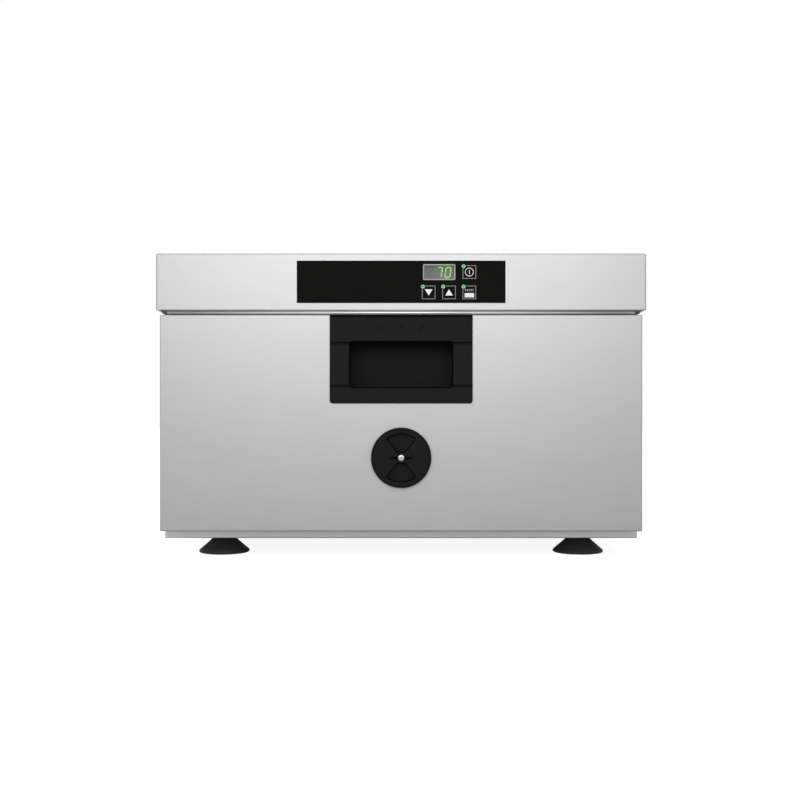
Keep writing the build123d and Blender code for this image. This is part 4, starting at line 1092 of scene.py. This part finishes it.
# --- Hood ---
@dataclass
class HoodTrim:
    """The hem's corner tabs and rolled bead, and the cross-recess screws at the back."""

    paint: Paint
    bend_z_mm: float = 216.0
    hem_inset_mm: float = 5.6
    hem_drop_mm: float = 3.5
    corner_stop_mm: float = 9.5
    tab_mm: float = 0.5
    tab_sink_mm: float = 0.1
    tab_gap_mm: float = 0.2
    tab_chamfer_mm: float = 1.7
    bead_mm: float = 3.2
    bead_sink_mm: float = 2.2
    bead_drop_mm: float = 2.75
    bead_sides: int = 20
    screw_head_mm: float = 7.5
    screw_rise_mm: float = 2.2
    shank_mm: float = 4.0
    cross_length_mm: float = 4.4
    cross_width_mm: float = 0.9
    cross_depth_mm: float = 1.2
    head_sides: int = 28
    shank_sides: int = 20

    def build(self) -> None:
        """Close both corners, roll the hem's edge and set the screws."""
        self.corners()
        self.rolled_edge()
        self.screws()

    def corners(self) -> None:
        """A thin welded tab that closes the hem at each front corner."""
        low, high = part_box("hood_cover")
        front = low[1]
        bend = self.bend_z_mm * MM
        drop = bend - self.hem_drop_mm * MM
        inset = self.hem_inset_mm * MM
        stop = self.corner_stop_mm * MM
        gap = self.tab_gap_mm * MM
        chamfer = self.tab_chamfer_mm * MM

        def draw(work: bmesh.types.BMesh) -> None:
            """Both tabs, each the hull of its corners."""
            for side, edge in ((-1, low[0]), (1, high[0])):
                corners = [
                    (edge - side * stop, front + self.tab_sink_mm * MM, bend),
                    (edge - side * chamfer, front + gap, bend),
                    (edge - side * gap, front + chamfer, bend),
                    (edge - side * stop, front + inset, drop),
                    (edge - side * inset, front + inset, drop),
                ]
                lifts = (0.0, self.tab_mm * MM)
                verts = [work.verts.new((x, y, z + lift)) for lift in lifts for x, y, z in corners]
                bmesh.ops.convex_hull(work, input=verts)

        mesh = mesh_from("hood_corner_tabs", draw)
        steel = self.paint.get("brushed_steel")
        finished_piece("hood_corner_tabs", mesh, "cabinet", steel)

    def rolled_edge(self) -> None:
        """The round bead along the front hem: it catches the light between two dark lines, and its paler
        steel adds painted light.
        """
        low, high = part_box("hood_cover")
        stop = self.corner_stop_mm * MM
        y = low[1] + self.bead_sink_mm * MM
        z = (self.bend_z_mm - self.bead_drop_mm) * MM
        section = circle(y, z, self.bead_mm / 2 * MM, self.bead_sides)

        def draw(work: bmesh.types.BMesh) -> None:
            """The bead, a closed rod along X."""
            ends = (low[0] + stop, high[0] - stop)
            loops = [[work.verts.new((x, *point)) for point in section] for x in ends]
            close_prism(work, *loops)

        mesh = mesh_from("hood_hem_bead", draw)
        for polygon in mesh.polygons:
            polygon.use_smooth = len(polygon.vertices) == 4
        # Painted light: the bead takes the paler steel, so its highlight shows brighter.
        finished_piece("hood_hem_bead", mesh, "cabinet", self.paint.get("painted_light_steel"))

    def screws(self) -> None:
        """Pan heads with a cross recess, made once and set where the plain screws stand."""
        boxes = islands("cover_screws")
        places = [Vector(((low.x + high.x) / 2, high.y, (low.z + high.z) / 2)) for low, high in boxes]
        shape = NodeShape("cover_screws_crossed", {
            "Head": self.screw_head_mm / 2 * MM,
            "Rise": self.screw_rise_mm * MM,
            "Shank": self.shank_mm / 2 * MM,
            "Length": boxes[0][1].y - boxes[0][0].y,
            "Cross": self.cross_length_mm * MM,
            "Slot": self.cross_width_mm * MM,
            "Depth": self.cross_depth_mm * MM,
        }, self.paint.get("steel_fastener"))
        head = self.rod(shape, "Head", "Rise", self.head_sides)
        shank = self.rod(shape, "Shank", "Length", self.shank_sides)
        twice = arith(shape.tree, "MULTIPLY", shape.size("Depth"), 2.0)
        cut = shape.add("GeometryNodeMeshBoolean", {"Mesh 1": head}, operation="DIFFERENCE")
        for across, upright in (("Cross", "Slot"), ("Slot", "Cross")):
            size = shape.vector(shape.size(across), twice, shape.size(upright))
            bar = shape.add("GeometryNodeMeshCube", {"Size": size})
            shape.tree.links.new(bar.outputs[0], cut.inputs["Mesh 2"])
        whole = shape.add("GeometryNodeJoinGeometry")
        for part in (cut.outputs[0], shank):
            shape.tree.links.new(part, whole.inputs[0])
        mesh = shape.run(whole.outputs[0], places)
        finished_piece("cover_screws_crossed", mesh, "cabinet", None, ["cover_screws"])

    def rod(self, shape: NodeShape, radius: str, length: str, sides: int) -> Socket:
        """A round bar along Y whose rear end lies at the origin.

        Args:
            shape: The tree that takes it.
            radius: The name of its radius.
            length: The name of its length.
            sides: How many sides stand for its round.

        Returns:
            The bar's geometry.
        """
        bar = shape.add("GeometryNodeMeshCylinder", {
            "Vertices": sides, "Radius": shape.size(radius), "Depth": shape.size(length),
        })
        back = arith(shape.tree, "MULTIPLY", shape.size(length), -0.5)
        laid = shape.add("GeometryNodeTransform", {
            "Geometry": bar.outputs[0],
            "Translation": shape.vector(0.0, back, 0.0),
            "Rotation": (math.pi / 2, 0, 0),
        })
        return laid.outputs[0]


# --- Feet ---
@dataclass
class Feet:
    """Four moulded rubber cones with a soft bead at the base, turned from one profile."""

    paint: Paint
    base_mm: float = 45.4
    top_mm: float = 15.6
    bead_mm: float = 1.3
    bead_turn: float = 140.0
    bead_steps: int = 6
    bead_inset_share: float = 0.4
    bead_rise_share: float = 1.9
    side_steps: int = 5
    side_hollow_mm: float = 0.35
    recess_mm: float = 12.0
    recess_depth_mm: float = 7.0
    segments: int = 72
    sharp_from: float = 50.0

    def profile(self, height: float) -> list[Point]:
        """The cone's half section.

        Args:
            height: The foot's height in metres.

        Returns:
            Its points, from the recess's roof round the bead to the top's middle.
        """
        base = self.base_mm / 2 * MM
        bead = self.bead_mm * MM
        hole = self.recess_mm / 2 * MM
        roof = self.recess_depth_mm * MM
        points = [(0.0, roof), (hole, roof), (hole, 0.0)]
        for step in range(self.bead_steps + 1):
            turn = -math.pi / 2 + step / self.bead_steps * math.radians(self.bead_turn)
            points.append((base - bead + bead * math.cos(turn), bead + bead * math.sin(turn)))
        side_x = base - bead * self.bead_inset_share
        side_z = bead * self.bead_rise_share
        for step in range(1, self.side_steps + 1):
            part = step / self.side_steps
            hollow = self.side_hollow_mm * MM * math.sin(math.pi * part)
            points.append((side_x + (self.top_mm / 2 * MM - side_x) * part - hollow,
                           side_z + (height - side_z) * part))
        points.append((0.0, height))
        return points

    def build(self) -> None:
        """Spin the profile once and repeat it where the frame's four feet stand."""
        low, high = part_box("feet")
        profile = self.profile(high[2] - low[2])

        def spin(work: bmesh.types.BMesh) -> None:
            """One foot about the Z axis."""
            verts = [work.verts.new((x, 0, z)) for x, z in profile]
            edges = [work.edges.new(pair) for pair in zip(verts, verts[1:])]
            bmesh.ops.spin(work, geom=verts + edges, cent=(0, 0, 0), axis=(0, 0, 1),
                           angle=2 * math.pi, steps=self.segments, use_duplicate=False)

        source = put("foot_cone", mesh_from("foot_cone", spin))
        radius = self.base_mm / 2 * MM
        places = [Vector((x, y, 0)) for x in (low[0] + radius, high[0] - radius)
                  for y in (low[1] + radius, high[1] - radius)]
        shape = NodeShape("feet_rubber", {"Scale": 1.0}, self.paint.get("black_rubber"))
        info = shape.add("GeometryNodeObjectInfo", {"Object": source})
        grown = shape.add("GeometryNodeTransform", {
            "Geometry": info.outputs["Geometry"], "Scale": shape.vector(*[shape.size("Scale")] * 3),
        })
        mesh = shape.run(grown.outputs[0], places)
        bpy.data.objects.remove(source)
        for polygon in mesh.polygons:
            polygon.use_smooth = True
        mesh.set_sharp_from_angle(angle=math.radians(self.sharp_from))
        finished_piece("feet_rubber", mesh, "cabinet", None, ["feet"])


# --- Studio ---
@dataclass(frozen=True)
class Lamp:
    """One soft rectangular lamp, in metres and watts. Only a mirrored one shows in the metal."""

    name: str
    place: tuple[float, float, float]
    size: Point
    watts: float
    aim: tuple[float, float, float] = (0.0, -0.3, 0.15)
    mirrored: bool = False

    def build(self) -> None:
        """Hang the lamp and turn it to its aim."""
        data = bpy.data.lights.new(self.name, "AREA")
        data.shape = "RECTANGLE"
        data.size, data.size_y = self.size
        data.energy = self.watts
        lamp = put(self.name, data)
        lamp.location = self.place
        lamp.rotation_euler = (Vector(self.aim) - lamp.location).to_track_quat("-Z", "Y").to_euler()
        lamp.visible_glossy = self.mirrored


LAMPS = (
    # The key above the camera: the steel fades downward from its reflection.
    Lamp("key", (-0.03, -1.2, 0.48), (0.85, 0.45), 2.8, mirrored=True),
    # The roof light: it lights the floor, more to the left, and the plastics.
    Lamp("roof", (-0.6, 0.1, 2.0), (1.6, 1.6), 22.0, (-0.3, 0.0, 0.0)),
    # Two side fills for the plastics and the floor.
    Lamp("left_fill", (-1.8, -0.9, 0.9), (0.8, 0.8), 10.0),
    Lamp("right_fill", (1.8, -0.9, 0.9), (0.8, 0.8), 1.0),
)


@dataclass
class Studio:
    """A pale floor, a white surround, soft lamps and the camera."""

    lens_mm: float = 50.0
    sensor_mm: float = 36.0
    distance_mm: float = 962.0
    eye_height_mm: float = 137.7
    side_step_mm: float = -1.0
    clip_mm: float = 10.0
    floor_half_mm: float = 4000.0
    floor_hex: str = "a0a0a0"
    floor_roughness: float = 0.9
    floor_seen_glow: float = 0.9
    floor_mirrored_glow: float = 0.05
    lift_from: Point = (-0.3, 0.05)
    lift_to: Point = (0.2, 0.88)
    ambient_share: float = 0.75

    def build(self) -> None:
        """Set the whole studio up."""
        bpy.context.scene.view_settings.view_transform = "Standard"
        self.floor()
        self.surround()
        for lamp in LAMPS:
            lamp.build()
        self.camera()

    def floor(self) -> None:
        """A wide pale floor that goes white for the camera but keeps the shadow."""
        def draw(work: bmesh.types.BMesh) -> None:
            """One large square."""
            half = self.floor_half_mm * MM
            work.faces.new([work.verts.new((x, y, 0)) for x, y in rectangle(-half, half, -half, half)])

        mesh = mesh_from("floor", draw)
        floor = put("floor", mesh)
        material, tree, shader = blank_material("pale_floor")
        rays = add_node(tree, "ShaderNodeLightPath").outputs
        seen = arith(tree, "MULTIPLY", rays["Is Camera Ray"], self.floor_seen_glow)
        wire(tree, shader, {
            "Base Color": linear(self.floor_hex),
            "Roughness": self.floor_roughness,
            "Specular IOR Level": 0.0,
            "Emission Color": linear("ffffff"),
            "Emission Strength": arith(
                tree, "MULTIPLY_ADD", rays["Is Glossy Ray"], self.floor_mirrored_glow, seen
            ),
        })
        mesh.materials.append(material)

    def surround(self) -> None:
        """White for the camera; a pale gradient, brighter upward, for what the metal reflects."""
        world = bpy.data.worlds.new("surround")
        bpy.context.scene.world = world
        world.use_nodes = True
        tree = world.node_tree
        tree.nodes.clear()
        parts = add_node(tree, "ShaderNodeSeparateXYZ", {0: coordinate(tree, "Generated")})
        lift = spread(tree, parts.outputs["Z"], self.lift_from, self.lift_to)
        rays = add_node(tree, "ShaderNodeLightPath").outputs
        ambient = arith(tree, "MULTIPLY", lift, self.ambient_share)
        sharp = arith(tree, "MAXIMUM", rays["Is Glossy Ray"], rays["Is Transmission Ray"])
        strength = blend(tree, rays["Is Camera Ray"], blend(tree, sharp, ambient, lift), 1.0)
        background = add_node(tree, "ShaderNodeBackground", {
            "Color": linear("ffffff"), "Strength": strength,
        })
        add_node(tree, "ShaderNodeOutputWorld", {"Surface": background.outputs[0]})

    def camera(self) -> None:
        """A level camera in front of the object, at the photograph's distance."""
        data = bpy.data.cameras.new("camera")
        data.lens = self.lens_mm
        data.sensor_width = self.sensor_mm
        data.clip_start = self.clip_mm * MM
        camera = put("camera", data)
        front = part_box("hood_cover")[0][1]
        camera.location = (self.side_step_mm * MM, front - self.distance_mm * MM, self.eye_height_mm * MM)
        camera.rotation_euler = (math.pi / 2, 0, 0)
        bpy.context.scene.camera = camera


def main() -> None:
    """Dress the frame, add the finer pieces and set the studio up."""
    logging.basicConfig(level=logging.INFO, format="%(message)s")
    paint = Paint()
    dress_frame(paint)
    for assembly in (ControlPanel, HandleTrim, VentTrim, HoodTrim, Feet):
        assembly(paint).build()
    Studio().build()


if __name__ == "__main__":
    main()
